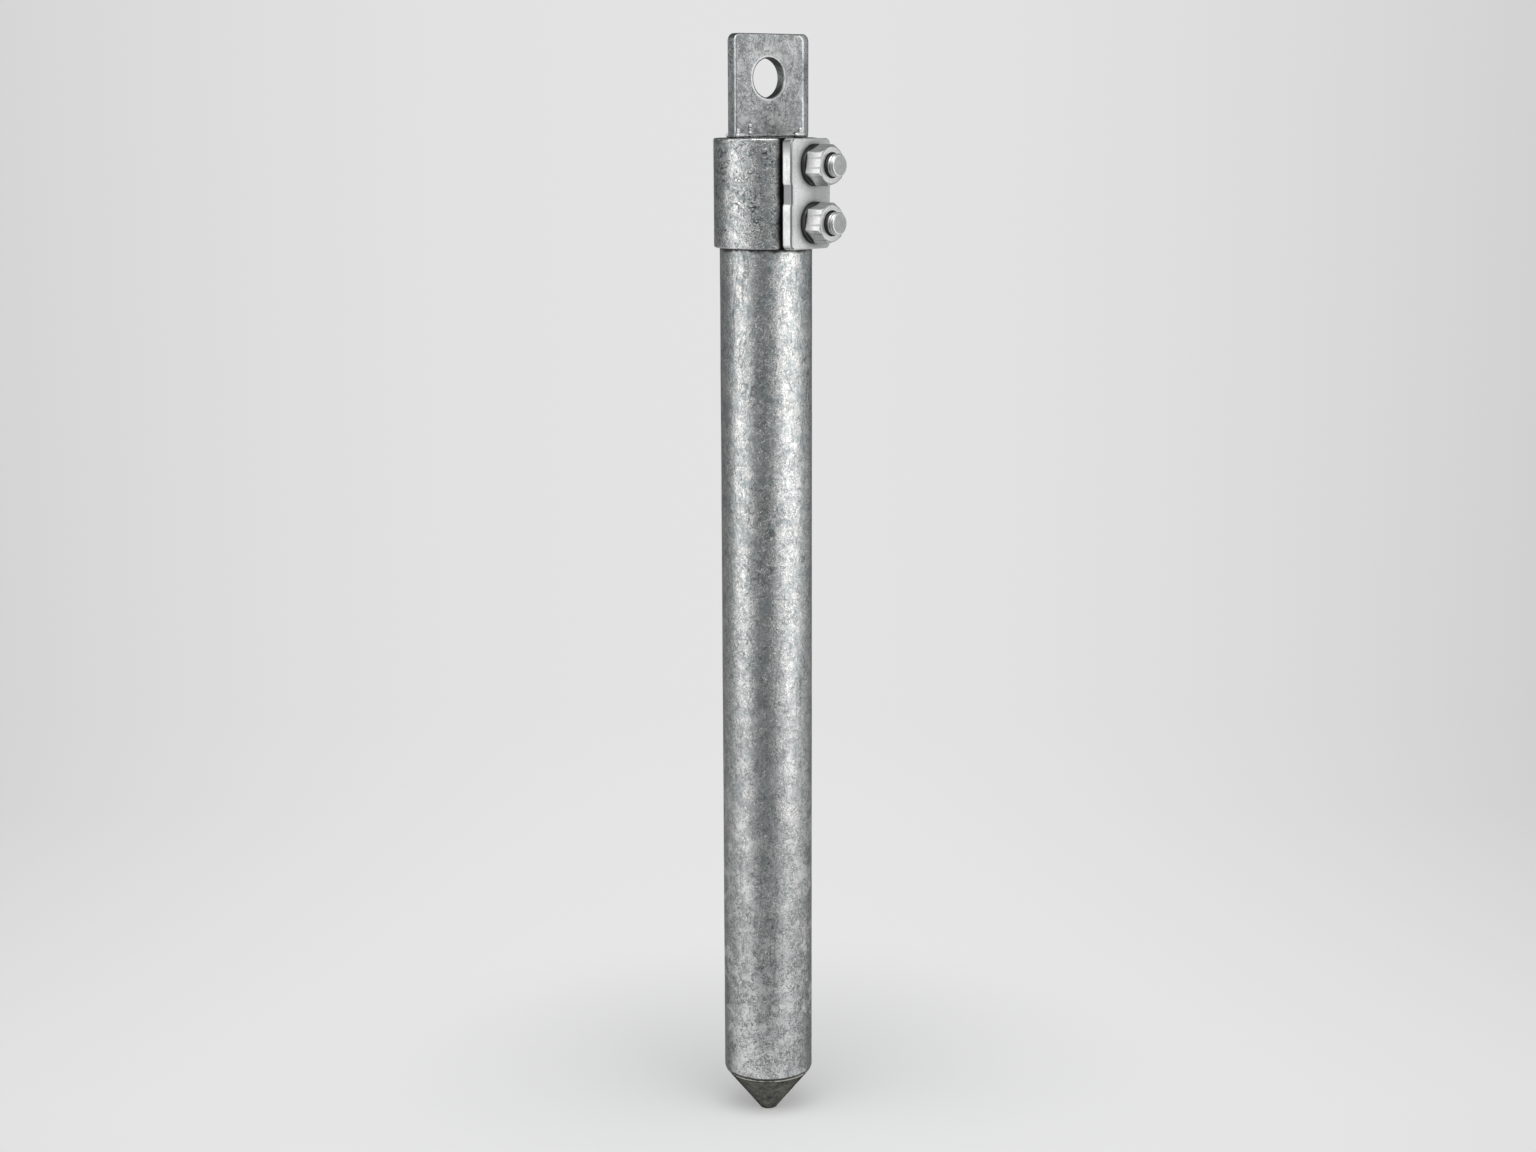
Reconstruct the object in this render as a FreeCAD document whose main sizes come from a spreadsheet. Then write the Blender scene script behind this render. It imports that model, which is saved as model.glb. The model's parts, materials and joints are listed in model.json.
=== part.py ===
"""A driven earth rod: a galvanised pipe with a solid steel point, a lug and a bolted conductor clamp.

The rod stands on its point with +Z up. The origin is the middle of the blunt end of the point, on the
pipe's axis. The lug faces -Y, and the clamp is turned a little from it towards +X. Millimetres.
"""
import FreeCAD, Part
import Sketcher
import os

doc = FreeCAD.newDocument("earth_rod")

# Driving sizes
SIZES = [
    ("pipe_diameter", 50.0, "outside of the pipe"),
    ("pipe_wall", 4.0, "wall of the pipe"),
    ("pipe_length", 524.0, "from the seam at the point to the open top"),
    ("pipe_mouth_chamfer", 0.8, "broken outer edge at the pipe's lower end"),
    ("point_height", 25.5, "from the blunt end up to the seam"),
    ("point_land_height", 1.0, "short upright band below the seam"),
    ("point_land_step", 0.7, "how far the band stands in from the pipe's outside"),
    ("tip_diameter", 9.2, "blunt end of the point"),
    ("tip_chamfer", 0.9, "broken rim of the blunt end"),
    ("spigot_length", 30.0, "part of the point that is driven up the bore"),
    ("spigot_clearance", 0.1, "gap between spigot and bore, on the radius"),
    ("collar_height", 58.0, "clamp collar, flush with the pipe's top"),
    ("collar_seat_step", 0.5, "how far the pipe is turned down where the collar sits"),
    ("collar_wall", 3.45, "wall of the collar"),
    ("collar_clearance", 0.05, "gap between collar and its seat, on the radius"),
    ("collar_chamfer", 1.0, "broken outer rims of the collar"),
    ("lug_height", 54.0, "from the pipe's top to the lug's top"),
    ("lug_thickness", 6.0, "flat bar of the lug"),
    ("lug_face_width", 46.0, "flat part of the lug's face, centred on the pipe"),
    ("lug_bevel_width", 5.0, "bevelled strip beside the face"),
    ("lug_bevel_depth", 1.0, "how far the strip falls back at its outer edge"),
    ("lug_corner_radius", 4.0, "upper corners of the lug"),
    ("lug_hole_diameter", 21.0, "clear hole for a 20 mm bolt"),
    ("lug_hole_drop", 23.0, "from the lug's top to the middle of the hole"),
    ("tongue_depth", 30.0, "narrow foot of the lug inside the bore"),
    ("tongue_clearance", 0.2, "gap between the foot's corners and the bore"),
    ("weld_leg", 3.0, "height and width of each weld bead"),
    ("weld_length", 6.5, "length of each weld bead"),
    ("clamp_turn", 10.5, "degrees from the lug's normal to the studs"),
    ("plate_width", 32.0, "clamp plate, across the studs"),
    ("plate_inset", 0.25, "how far the clamp plate stops short of the collar's rims"),
    ("plate_thickness", 6.0, "flat bar of the clamp plate"),
    ("plate_offset", 2.8, "plate's middle beside the line of the studs"),
    ("plate_corner_radius", 3.0, "corners of the clamp plate"),
    ("plate_hole_diameter", 13.5, "clear holes for the studs"),
    ("relief_height", 10.0, "shallow relief in the plate's free edge"),
    ("relief_depth", 0.8, "depth of that relief"),
    ("stud_diameter", 12.0, "threaded studs"),
    ("stud_spacing", 30.0, "between the middles of the studs"),
    ("stud_inside", 1.5, "stud's end inside the bore"),
    ("stud_beyond_nut", 5.3, "stud's end beyond the nut"),
    ("stud_chamfer", 1.0, "broken outer ends of the studs"),
    ("thread_clearance", 0.05, "gap round a stud's thread, on the radius"),
    ("washer_diameter", 22.0, "plain washers"),
    ("washer_bore", 13.0, "hole of the washers"),
    ("washer_thickness", 2.5, "plain washers"),
    ("nut_flats", 19.0, "across the flats of the nuts"),
    ("nut_height", 10.0, "height of the nuts"),
    ("nut_face_ratio", 0.95, "round face of a nut as a share of its flats"),
    ("nut_countersink", 0.8, "chamfer at the outer end of the nut's thread"),
    ("upper_nut_turn", 8.5, "degrees that the upper nut stopped past upright"),
    ("lower_nut_turn", 11.5, "degrees that the lower nut stopped past upright"),
]

sheet = doc.addObject("Spreadsheet::Sheet", "sizes")
for row, (name, value, meaning) in enumerate(SIZES, start=1):
    sheet.set(f"A{row}", name)
    sheet.set(f"B{row}", str(value))
    sheet.setAlias(f"B{row}", name)
    sheet.set(f"C{row}", meaning)
doc.recompute()

# Places worked out from the driving sizes
PIPE_RADIUS = "sizes.pipe_diameter / 2"
BORE_RADIUS = f"({PIPE_RADIUS} - sizes.pipe_wall)"
PIPE_TOP = "(sizes.point_height + sizes.pipe_length)"
COLLAR_BOTTOM = f"({PIPE_TOP} - sizes.collar_height)"
SEAT_RADIUS = f"({PIPE_RADIUS} - sizes.collar_seat_step)"
COLLAR_BORE = f"({SEAT_RADIUS} + sizes.collar_clearance)"
COLLAR_RADIUS = f"({COLLAR_BORE} + sizes.collar_wall)"
CLAMP_MIDDLE = f"({PIPE_TOP} - sizes.collar_height / 2)"
PLATE_HEIGHT = "(sizes.collar_height - 2 * sizes.plate_inset)"
PLATE_FACE = f"({COLLAR_RADIUS} + sizes.plate_thickness)"
WASHER_FACE = f"({PLATE_FACE} + sizes.washer_thickness)"
NUT_FACE = f"({WASHER_FACE} + sizes.nut_height)"
STUD_START = f"({BORE_RADIUS} - sizes.stud_inside)"
STUD_END = f"({NUT_FACE} + sizes.stud_beyond_nut)"
TAPPED_RADIUS = "(sizes.stud_diameter / 2 + sizes.thread_clearance)"
UPPER = "sizes.stud_spacing / 2"
LOWER = "-sizes.stud_spacing / 2"
FACE_EDGE = "sizes.lug_face_width / 2"
BEVEL_EDGE = f"({FACE_EDGE} + sizes.lug_bevel_width)"


def number(formula):
    """Give the value that a formula on the sheet has now."""
    value = sheet.evalExpression(formula)
    return float(getattr(value, "Value", value))


def new_body(name):
    """Start one solid piece under its own name."""
    body = doc.addObject("PartDesign::Body", name)
    body.Label = name
    return body


def new_sketch(body, name, plane="XY_Plane", height=None):
    """Lay a sketch on one of the body's own planes, or a formula's distance along that plane's normal."""
    sketch = body.newObject("Sketcher::SketchObject", name)
    role = [feature for feature in body.Origin.OriginFeatures if feature.Role == plane][0]
    sketch.AttachmentSupport = (role, "")
    sketch.MapMode = "FlatFace"
    if height:
        sketch.setExpression("AttachmentOffset.Base.z", height)
    return sketch


def fix_point(sketch, geometry, end, x, y):
    """Hold one point of a sketch where two formulas put it."""
    for kind, axis, formula in (("DistanceX", -2, x), ("DistanceY", -1, y)):
        if formula == "0":
            sketch.addConstraint(Sketcher.Constraint("PointOnObject", geometry, end, axis))
        else:
            held = sketch.addConstraint(Sketcher.Constraint(kind, -1, 1, geometry, end, number(formula)))
            sketch.setExpression(f"Constraints[{held}]", formula)


def draw_outline(sketch, corners):
    """Draw a closed outline of straight sides through corners given as pairs of formulas."""
    places = [FreeCAD.Vector(number(x), number(y), 0) for x, y in corners]
    first = sketch.GeometryCount
    for index, place in enumerate(places):
        sketch.addGeometry(Part.LineSegment(place, places[(index + 1) % len(places)]))
    for index, (x, y) in enumerate(corners):
        side = first + index
        next_side = first + (index + 1) % len(corners)
        sketch.addConstraint(Sketcher.Constraint("Coincident", side, 2, next_side, 1))
        fix_point(sketch, side, 1, x, y)


def draw_circle(sketch, x, y, radius):
    """Draw a circle whose middle and radius are formulas."""
    middle = FreeCAD.Vector(number(x), number(y), 0)
    circle = sketch.addGeometry(Part.Circle(middle, FreeCAD.Vector(0, 0, 1), number(radius)))
    fix_point(sketch, circle, 3, x, y)
    held = sketch.addConstraint(Sketcher.Constraint("Radius", circle, number(radius)))
    sketch.setExpression(f"Constraints[{held}]", radius)


def pad(body, sketch, name, length, midplane=False):
    """Give a sketch its thickness."""
    feature = body.newObject("PartDesign::Pad", name)
    feature.Profile = sketch
    feature.setExpression("Length", length)
    feature.Midplane = midplane
    doc.recompute()
    return feature


def revolve(body, sketch, name):
    """Turn a half section about the upright axis of its sketch."""
    feature = body.newObject("PartDesign::Revolution", name)
    feature.Profile = sketch
    feature.ReferenceAxis = (sketch, ["V_Axis"])
    feature.Angle = 360
    doc.recompute()
    return feature


def cut_through(body, sketch, name, towards_normal=False, both_ways=False):
    """Cut a sketch's shape through the body, and make sure that it takes metal away."""
    before = body.Shape.Volume
    feature = body.newObject("PartDesign::Pocket", name)
    feature.Profile = sketch
    feature.Type = "ThroughAll"
    feature.Midplane = both_ways
    feature.Reversed = towards_normal
    doc.recompute()
    if feature.Shape.Volume >= before:
        raise RuntimeError(name + " cuts nothing")
    return feature


def edges_where(feature, test):
    """Name the edges of a feature that a test picks."""
    return [f"Edge{index}" for index, edge in enumerate(feature.Shape.Edges, start=1) if test(edge)]


def dress_edges(body, kind, name, base, edges, size):
    """Round or chamfer chosen edges by a size on the sheet."""
    feature = body.newObject("PartDesign::" + kind, name)
    feature.Base = (base, edges)
    feature.setExpression("Radius" if kind == "Fillet" else "Size", size)
    doc.recompute()
    return feature


def is_circle(edge, radius):
    """Tell whether an edge is a whole circle of this radius."""
    curve = edge.Curve
    return isinstance(curve, Part.Circle) and edge.isClosed() and abs(curve.Radius - radius) < 1e-4


def is_straight_along(edge, axis):
    """Tell whether an edge is a straight one along this axis of its body."""
    return isinstance(edge.Curve, Part.Line) and abs(abs(getattr(edge.Curve.Direction, axis)) - 1) < 1e-6


def is_level(edge, axis, value):
    """Tell whether an edge lies at this value of an axis."""
    return abs(getattr(edge.CenterOfMass, axis) - value) < 1e-4


def stand_on_axis(body, height):
    """Stand a round piece on the pipe's axis, turned so that its local -Y looks along the studs."""
    place = f"placement(vector(0; 0; {height}); rotation(sizes.clamp_turn; 0; 0))"
    body.setExpression("Placement", place)


def set_on_clamp(body, distance, height):
    """Point a piece's own Z along the studs, at a distance from the pipe's axis and a height."""
    across = f"sin(sizes.clamp_turn) * {distance}"
    along = f"-cos(sizes.clamp_turn) * {distance}"
    place = f"placement(vector({across}; {along}; {height}); rotation(sizes.clamp_turn; 0; 90))"
    body.setExpression("Placement", place)


def cut_stud_holes(body, middle, radius):
    """Cut the two stud holes through the wall on the clamp's side only."""
    sketch = new_sketch(body, body.Label + "_stud_holes_sketch", "XZ_Plane")
    for step in (UPPER, LOWER):
        draw_circle(sketch, "0", f"{middle} + {step}", radius)
    return cut_through(body, sketch, body.Label + "_stud_holes", towards_normal=True)


def make_pipe():
    """Pipe turned down for the collar, with a broken edge at the seam and two tapped stud holes."""
    body = new_body("pipe")
    half_section = new_sketch(body, "pipe_half_section", "XZ_Plane")
    seat_bottom = "(sizes.pipe_length - sizes.collar_height)"
    draw_outline(half_section, [
        (BORE_RADIUS, "0"),
        (f"{PIPE_RADIUS} - sizes.pipe_mouth_chamfer", "0"),
        (PIPE_RADIUS, "sizes.pipe_mouth_chamfer"),
        (PIPE_RADIUS, seat_bottom),
        (SEAT_RADIUS, seat_bottom),
        (SEAT_RADIUS, "sizes.pipe_length"),
        (BORE_RADIUS, "sizes.pipe_length"),
    ])
    revolve(body, half_section, "pipe_tube")
    cut_stud_holes(body, "(sizes.pipe_length - sizes.collar_height / 2)", TAPPED_RADIUS)
    stand_on_axis(body, "sizes.point_height")


def make_driving_point():
    """Solid turned point: blunt cone, short band under the seam, and a spigot up the bore."""
    body = new_body("driving_point")
    half_section = new_sketch(body, "point_half_section", "XZ_Plane")
    land_radius = f"({PIPE_RADIUS} - sizes.point_land_step)"
    land_bottom = "(sizes.point_height - sizes.point_land_height)"
    spigot_radius = f"({BORE_RADIUS} - sizes.spigot_clearance)"
    spigot_top = "(sizes.point_height + sizes.spigot_length)"
    draw_outline(half_section, [
        ("0", "0"),
        ("sizes.tip_diameter / 2", "0"),
        (land_radius, land_bottom),
        (land_radius, "sizes.point_height"),
        (spigot_radius, "sizes.point_height"),
        (spigot_radius, spigot_top),
        ("0", spigot_top),
    ])
    turned = revolve(body, half_section, "point_turned")
    tip = number("sizes.tip_diameter / 2")
    rim = edges_where(turned, lambda edge: is_circle(edge, tip))
    dress_edges(body, "Chamfer", "point_tip_rim", turned, rim, "sizes.tip_chamfer")


def make_collar():
    """Collar that doubles the wall where the studs are screwed in, standing on the pipe's shoulder."""
    body = new_body("collar")
    half_section = new_sketch(body, "collar_half_section", "XZ_Plane")
    draw_outline(half_section, [
        (COLLAR_BORE, "0"),
        (f"{COLLAR_RADIUS} - sizes.collar_chamfer", "0"),
        (COLLAR_RADIUS, "sizes.collar_chamfer"),
        (COLLAR_RADIUS, "sizes.collar_height - sizes.collar_chamfer"),
        (f"{COLLAR_RADIUS} - sizes.collar_chamfer", "sizes.collar_height"),
        (COLLAR_BORE, "sizes.collar_height"),
    ])
    revolve(body, half_section, "collar_ring")
    cut_stud_holes(body, "sizes.collar_height / 2", TAPPED_RADIUS)
    stand_on_axis(body, COLLAR_BOTTOM)


def make_lug():
    """Flat bar lug: a bevelled strip on one side, and a narrow foot that goes into the bore."""
    body = new_body("lug")
    outline = new_sketch(body, "lug_outline")
    foot_edge = f"sqrt(({BORE_RADIUS} - sizes.tongue_clearance)^2 - (sizes.lug_thickness / 2)^2)"
    draw_outline(outline, [
        (f"-{FACE_EDGE}", "0"),
        (f"-{foot_edge}", "0"),
        (f"-{foot_edge}", "-sizes.tongue_depth"),
        (foot_edge, "-sizes.tongue_depth"),
        (foot_edge, "0"),
        (BEVEL_EDGE, "0"),
        (BEVEL_EDGE, "sizes.lug_height"),
        (f"-{FACE_EDGE}", "sizes.lug_height"),
    ])
    draw_circle(outline, "0", "sizes.lug_height - sizes.lug_hole_drop", "sizes.lug_hole_diameter / 2")
    bar = pad(body, outline, "lug_bar", "sizes.lug_thickness", midplane=True)
    top = number("sizes.lug_height")
    corners = edges_where(bar, lambda edge: is_straight_along(edge, "z") and is_level(edge, "y", top))
    dress_edges(body, "Fillet", "lug_corners", bar, corners, "sizes.lug_corner_radius")
    bevel = new_sketch(body, "lug_bevel_section", "XZ_Plane")
    front = "sizes.lug_thickness / 2"
    draw_outline(bevel, [
        (FACE_EDGE, front),
        (BEVEL_EDGE, front),
        (BEVEL_EDGE, f"{front} - sizes.lug_bevel_depth"),
    ])
    cut_through(body, bevel, "lug_bevel", both_ways=True)
    body.setExpression("Placement", f"placement(vector(0; 0; {PIPE_TOP}); rotation(0; 0; 90))")


def make_lug_welds():
    """Four short beads where the lug's ends stand on the rim of the pipe, front and back."""
    half_bar = "sizes.lug_thickness / 2"
    starts = {"left": f"-{FACE_EDGE}", "right": f"({FACE_EDGE} - sizes.weld_length)"}
    faces = {"front": (f"-{half_bar}", "0; -90; 180"), "back": (half_bar, "90; 0; 90")}
    beads = []
    for side, start in starts.items():
        for face, (bar_face, turn) in faces.items():
            bead = doc.addObject("Part::Cylinder", f"weld_{side}_{face}")
            bead.setExpression("Radius", "sizes.weld_leg")
            bead.setExpression("Height", "sizes.weld_length")
            bead.Angle = 90
            place = f"placement(vector({start}; {bar_face}; {PIPE_TOP}); rotation({turn}))"
            bead.setExpression("Placement", place)
            beads.append(bead)
    group = doc.addObject("Part::Compound", "lug_welds")
    group.Label = "lug_welds"
    group.Links = beads


def make_clamp_plate():
    """Flat plate that the nuts press on a conductor laid against the collar."""
    body = new_body("clamp_plate")
    outline = new_sketch(body, "plate_outline")
    left = "(-sizes.plate_offset - sizes.plate_width / 2)"
    right = "(sizes.plate_width / 2 - sizes.plate_offset)"
    top = f"{PLATE_HEIGHT} / 2"
    relief = "sizes.relief_height / 2"
    draw_outline(outline, [
        (left, f"-{top}"),
        (right, f"-{top}"),
        (right, top),
        (left, top),
        (left, relief),
        (f"({left} + sizes.relief_depth)", relief),
        (f"({left} + sizes.relief_depth)", f"-{relief}"),
        (left, f"-{relief}"),
    ])
    for step in (UPPER, LOWER):
        draw_circle(outline, "0", step, "sizes.plate_hole_diameter / 2")
    bar = pad(body, outline, "plate_bar", "sizes.plate_thickness")
    ends = [number(top), -number(top)]
    corners = edges_where(bar, lambda edge: is_straight_along(edge, "z")
                          and any(is_level(edge, "y", end) for end in ends))
    dress_edges(body, "Fillet", "plate_corners", bar, corners, "sizes.plate_corner_radius")
    set_on_clamp(body, COLLAR_RADIUS, CLAMP_MIDDLE)


def make_stud(name, step):
    """Stud screwed through the collar and the pipe's wall, with a broken outer end."""
    body = new_body(name)
    section = new_sketch(body, name + "_section")
    draw_circle(section, "0", "0", "sizes.stud_diameter / 2")
    rod = pad(body, section, name + "_rod", f"{STUD_END} - {STUD_START}")
    radius = number("sizes.stud_diameter / 2")
    end = edges_where(rod, lambda edge: is_circle(edge, radius) and edge.Curve.Center.z > 0)
    dress_edges(body, "Chamfer", name + "_end", rod, end, "sizes.stud_chamfer")
    set_on_clamp(body, STUD_START, f"{CLAMP_MIDDLE} + {step}")


def make_washer(name, step):
    """Plain washer between the plate and its nut."""
    body = new_body(name)
    section = new_sketch(body, name + "_section")
    draw_circle(section, "0", "0", "sizes.washer_diameter / 2")
    draw_circle(section, "0", "0", "sizes.washer_bore / 2")
    pad(body, section, name + "_ring", "sizes.washer_thickness")
    set_on_clamp(body, PLATE_FACE, f"{CLAMP_MIDDLE} + {step}")


def make_nut(name, step, turn):
    """Hexagon nut: a blank turned with a bevelled, countersunk outer face, then milled to six flats."""
    body = new_body(name)
    blank_section = new_sketch(body, name + "_blank_section", "XZ_Plane")
    corner_radius = "(sizes.nut_flats / 2 / cos(30))"
    face_radius = "(sizes.nut_flats / 2 * sizes.nut_face_ratio)"
    bevel = f"(({corner_radius} - {face_radius}) * tan(30))"
    bore = TAPPED_RADIUS
    mouth = f"({bore} + sizes.nut_countersink)"
    draw_outline(blank_section, [
        (bore, "0"),
        (corner_radius, "0"),
        (corner_radius, f"sizes.nut_height - {bevel}"),
        (face_radius, "sizes.nut_height"),
        (mouth, "sizes.nut_height"),
        (bore, "sizes.nut_height - sizes.nut_countersink"),
    ])
    revolve(body, blank_section, name + "_blank")
    flats = new_sketch(body, name + "_flats")
    draw_circle(flats, "0", "0", "sizes.nut_flats")
    corners = [f"(sizes.{turn} + {corner * 60})" for corner in range(6)]
    draw_outline(flats, [(f"{corner_radius} * sin({angle})", f"{corner_radius} * cos({angle})")
                         for angle in corners])
    cut_through(body, flats, name + "_milled", towards_normal=True)
    set_on_clamp(body, WASHER_FACE, f"{CLAMP_MIDDLE} + {step}")


def check_document():
    """Stop if any feature failed or any piece has no sound shape."""
    doc.recompute()
    for item in doc.Objects:
        if "Invalid" in item.State or "Error" in item.State:
            raise RuntimeError(f"{item.Name} failed: {item.State}")
    for name in PIECES:
        shape = doc.getObject(name).Shape
        if shape.isNull() or not shape.isValid() or shape.Volume <= 0:
            raise RuntimeError(name + " has no sound shape")


PIECES = ["pipe", "driving_point", "collar", "lug", "lug_welds", "clamp_plate",
          "stud_upper", "stud_lower", "washer_upper", "washer_lower", "nut_upper", "nut_lower"]

make_pipe()
make_driving_point()
make_collar()
make_lug()
make_lug_welds()
make_clamp_plate()
for level, level_step, nut_turn in (("upper", UPPER, "upper_nut_turn"), ("lower", LOWER, "lower_nut_turn")):
    make_stud("stud_" + level, level_step)
    make_washer("washer_" + level, level_step)
    make_nut("nut_" + level, level_step, nut_turn)
check_document()

os.makedirs("parts", exist_ok=True)
for piece in PIECES:
    shape = doc.getObject(piece).Shape
    shape.exportStep(f"parts/{piece}.step")
    box = shape.BoundBox
    print(f"{piece}: {shape.Volume:.1f} mm3, {len(shape.Solids)} solid(s), "
          f"x {box.XMin:.2f} to {box.XMax:.2f}, y {box.YMin:.2f} to {box.YMax:.2f}, "
          f"z {box.ZMin:.2f} to {box.ZMax:.2f}")
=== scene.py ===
# %% [markdown]
# # A galvanised earth rod
# This script dresses a ready-made frame: every solid of the rod is already in place at its real size.
# Each cell makes one piece or one finish, and the cell before it says what the real thing is, how it
# could be made in Blender, and why this way was chosen.

# %% Load the frame
import json
import math

import bmesh
import bpy
from mathutils import Matrix, Vector
from mathutils.geometry import delaunay_2d_cdt


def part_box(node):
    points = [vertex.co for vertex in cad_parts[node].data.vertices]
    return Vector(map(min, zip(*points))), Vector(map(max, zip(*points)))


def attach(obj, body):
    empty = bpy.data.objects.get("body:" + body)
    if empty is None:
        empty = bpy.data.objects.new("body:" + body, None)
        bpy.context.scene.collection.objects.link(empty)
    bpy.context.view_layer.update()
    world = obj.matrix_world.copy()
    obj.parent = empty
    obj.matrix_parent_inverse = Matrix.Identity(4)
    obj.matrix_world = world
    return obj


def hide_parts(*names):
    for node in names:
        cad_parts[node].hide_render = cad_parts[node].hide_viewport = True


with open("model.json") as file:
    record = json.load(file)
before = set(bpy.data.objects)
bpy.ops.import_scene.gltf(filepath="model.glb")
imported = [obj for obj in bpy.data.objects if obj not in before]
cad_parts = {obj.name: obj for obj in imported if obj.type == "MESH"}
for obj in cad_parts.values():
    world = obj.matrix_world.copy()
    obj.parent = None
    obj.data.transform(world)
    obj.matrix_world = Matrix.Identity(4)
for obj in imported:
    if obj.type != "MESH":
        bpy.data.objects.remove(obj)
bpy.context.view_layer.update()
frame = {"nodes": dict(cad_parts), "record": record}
MM = 0.001
scene = bpy.context.scene
print("solids in the frame:", ", ".join(sorted(frame["nodes"])))

# %% [markdown]
# The frame says where everything is, so the main sizes are read from it: the pipe, the collar, the lug
# and the plate give their ends, and the record's mount for the conductor gives the way that the clamp
# faces. Only what the boxes can't tell, such as a wall, is written down here.

# %% Sizes from the frame
pipe_low, pipe_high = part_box("pipe")
collar_low, collar_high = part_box("collar")
lug_low, lug_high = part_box("lug")
plate_low, plate_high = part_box("clamp_plate")
mounts = {mount["name"]: mount for mount in frame["record"]["mounts"]}

PIPE_RADIUS = 25.0 * MM
BORE_RADIUS = 21.0 * MM
SEAM_HEIGHT = pipe_low.z
PIPE_TOP = pipe_high.z
COLLAR_RADIUS = collar_high.x
COLLAR_BOTTOM = collar_low.z
stud_boxes = {which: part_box(f"stud_{which}") for which in ("upper", "lower")}
STUD_HEIGHTS = {which: (low.z + high.z) / 2 for which, (low, high) in stud_boxes.items()}
PLATE_MIDDLE = (plate_low.z + plate_high.z) / 2
LUG_HOLE_HEIGHT = mounts["lug_hole"]["pos_m"][2]
LUG_HOLE_RADIUS = 10.3 * MM
OUTWARD = tuple(mounts["conductor_clamp"]["axis"])
CLAMP_TURN = math.atan2(OUTWARD[0], -OUTWARD[1])
ACROSS = (math.cos(CLAMP_TURN), math.sin(CLAMP_TURN), 0.0)
print(f"pipe from {SEAM_HEIGHT:.4f} to {PIPE_TOP:.4f} m, clamp turned {math.degrees(CLAMP_TURN):.1f} degrees")

# %% [markdown]
# A finished piece is an object at the origin whose mesh holds its place, as the frame's own solids are.
# Flat pieces and everything on the studs are drawn lying down, with Z pointing out of the rod's front,
# and `front_place` gives the matrix that stands them up. Points that fall together are merged before the
# normals are turned outwards, because a seam that is still open could turn half of a piece inside out.


# %% Helpers for finished pieces
def front_place(distance, height, turn):
    """Matrix that points a piece's own Z out of the rod, at a distance from its axis and a height."""
    stand = Matrix.Translation((0, -distance, height)) @ Matrix.Rotation(math.pi / 2, 4, "X")
    return Matrix.Rotation(turn, 4, "Z") @ stand


def plain_mesh(name, bm):
    """Write the points and faces down as a plain mesh."""
    mesh = bpy.data.meshes.new(name)
    bm.to_mesh(mesh)
    bm.free()
    return mesh


def close_mesh(name, bm, place=Matrix.Identity(4)):
    """Merge, turn the faces outwards, and give the plain mesh with its place in it."""
    bmesh.ops.remove_doubles(bm, verts=bm.verts, dist=0.002 * MM)
    bmesh.ops.recalc_face_normals(bm, faces=bm.faces)
    bmesh.ops.transform(bm, matrix=place, verts=bm.verts)
    return plain_mesh(name, bm)


def link_piece(name, mesh, finish, smooth_angle=38):
    """Link a mesh as an object, smooth up to an angle, with its finish."""
    mesh.shade_smooth()
    mesh.set_sharp_from_angle(angle=math.radians(smooth_angle))
    mesh.materials.clear()
    mesh.materials.append(finish.material)
    piece = bpy.data.objects.new(name, mesh)
    scene.collection.objects.link(piece)
    return piece


def hand_over(piece, slot, *nodes):
    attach(piece, "root")
    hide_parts(*nodes)
    print(f"{piece.name}: {len(piece.data.vertices)} points, {len(piece.data.polygons)} faces")


print("helpers for finished pieces are ready")

# %% [markdown]
# Round pieces are turned from a half section, as on a lathe. A Screw modifier would do it too, but rings
# made in a loop can be packed closely just where a surface has to wave. The corners of a section are
# rounded first, because neither dipped zinc nor turned steel has a truly sharp edge.

# %% Helpers for turned pieces
HIDDEN_RING_GAP = 20.0 * MM


def round_corners(points, radius, steps=4, closed=True):
    """Round the corners of an outline; where a side is too short, the corner gets a smaller radius."""
    rounded = []
    for index, point in enumerate(points):
        corner = Vector(point)
        if not closed and index in (0, len(points) - 1):
            rounded.append(corner)
            continue
        before = Vector(points[index - 1]) - corner
        after = Vector(points[(index + 1) % len(points)]) - corner
        reach = min(radius / math.tan(before.angle(after) / 2), before.length * 0.45, after.length * 0.45)
        start = corner + before.normalized() * reach
        end = corner + after.normalized() * reach
        for share in (step / steps for step in range(steps + 1)):
            rounded.append(start.lerp(corner, share).lerp(corner.lerp(end, share), share))
    return rounded


def split_sides(points, gap, seen=lambda start, end: True, closed=True):
    """Add points so that no side is longer than the gap, or the hidden one where it isn't seen."""
    result = []
    for start, end in zip(points, points[1:] + (points[:1] if closed else [])):
        longest = gap if seen(start, end) else HIDDEN_RING_GAP
        parts = max(1, math.ceil((end - start).length / longest))
        result += [start.lerp(end, part / parts) for part in range(parts)]
    return result if closed else result + [points[-1]]


def circle(sides):
    """Points of a unit circle."""
    angles = [2 * math.pi * side / sides for side in range(sides)]
    return [(math.cos(angle), math.sin(angle)) for angle in angles]


def add_loop(bm, points, heights):
    """Add a closed loop of points, each at its own height or all at one."""
    heights = heights if isinstance(heights, list) else [heights] * len(points)
    return [bm.verts.new((point[0], point[1], height)) for point, height in zip(points, heights)]


def join_loops(bm, loops):
    """Close the strips between neighbouring loops."""
    for near, far in zip(loops, loops[1:]):
        for index in range(len(near)):
            other = (index + 1) % len(near)
            bm.faces.new((near[index], near[other], far[other], far[index]))


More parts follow.
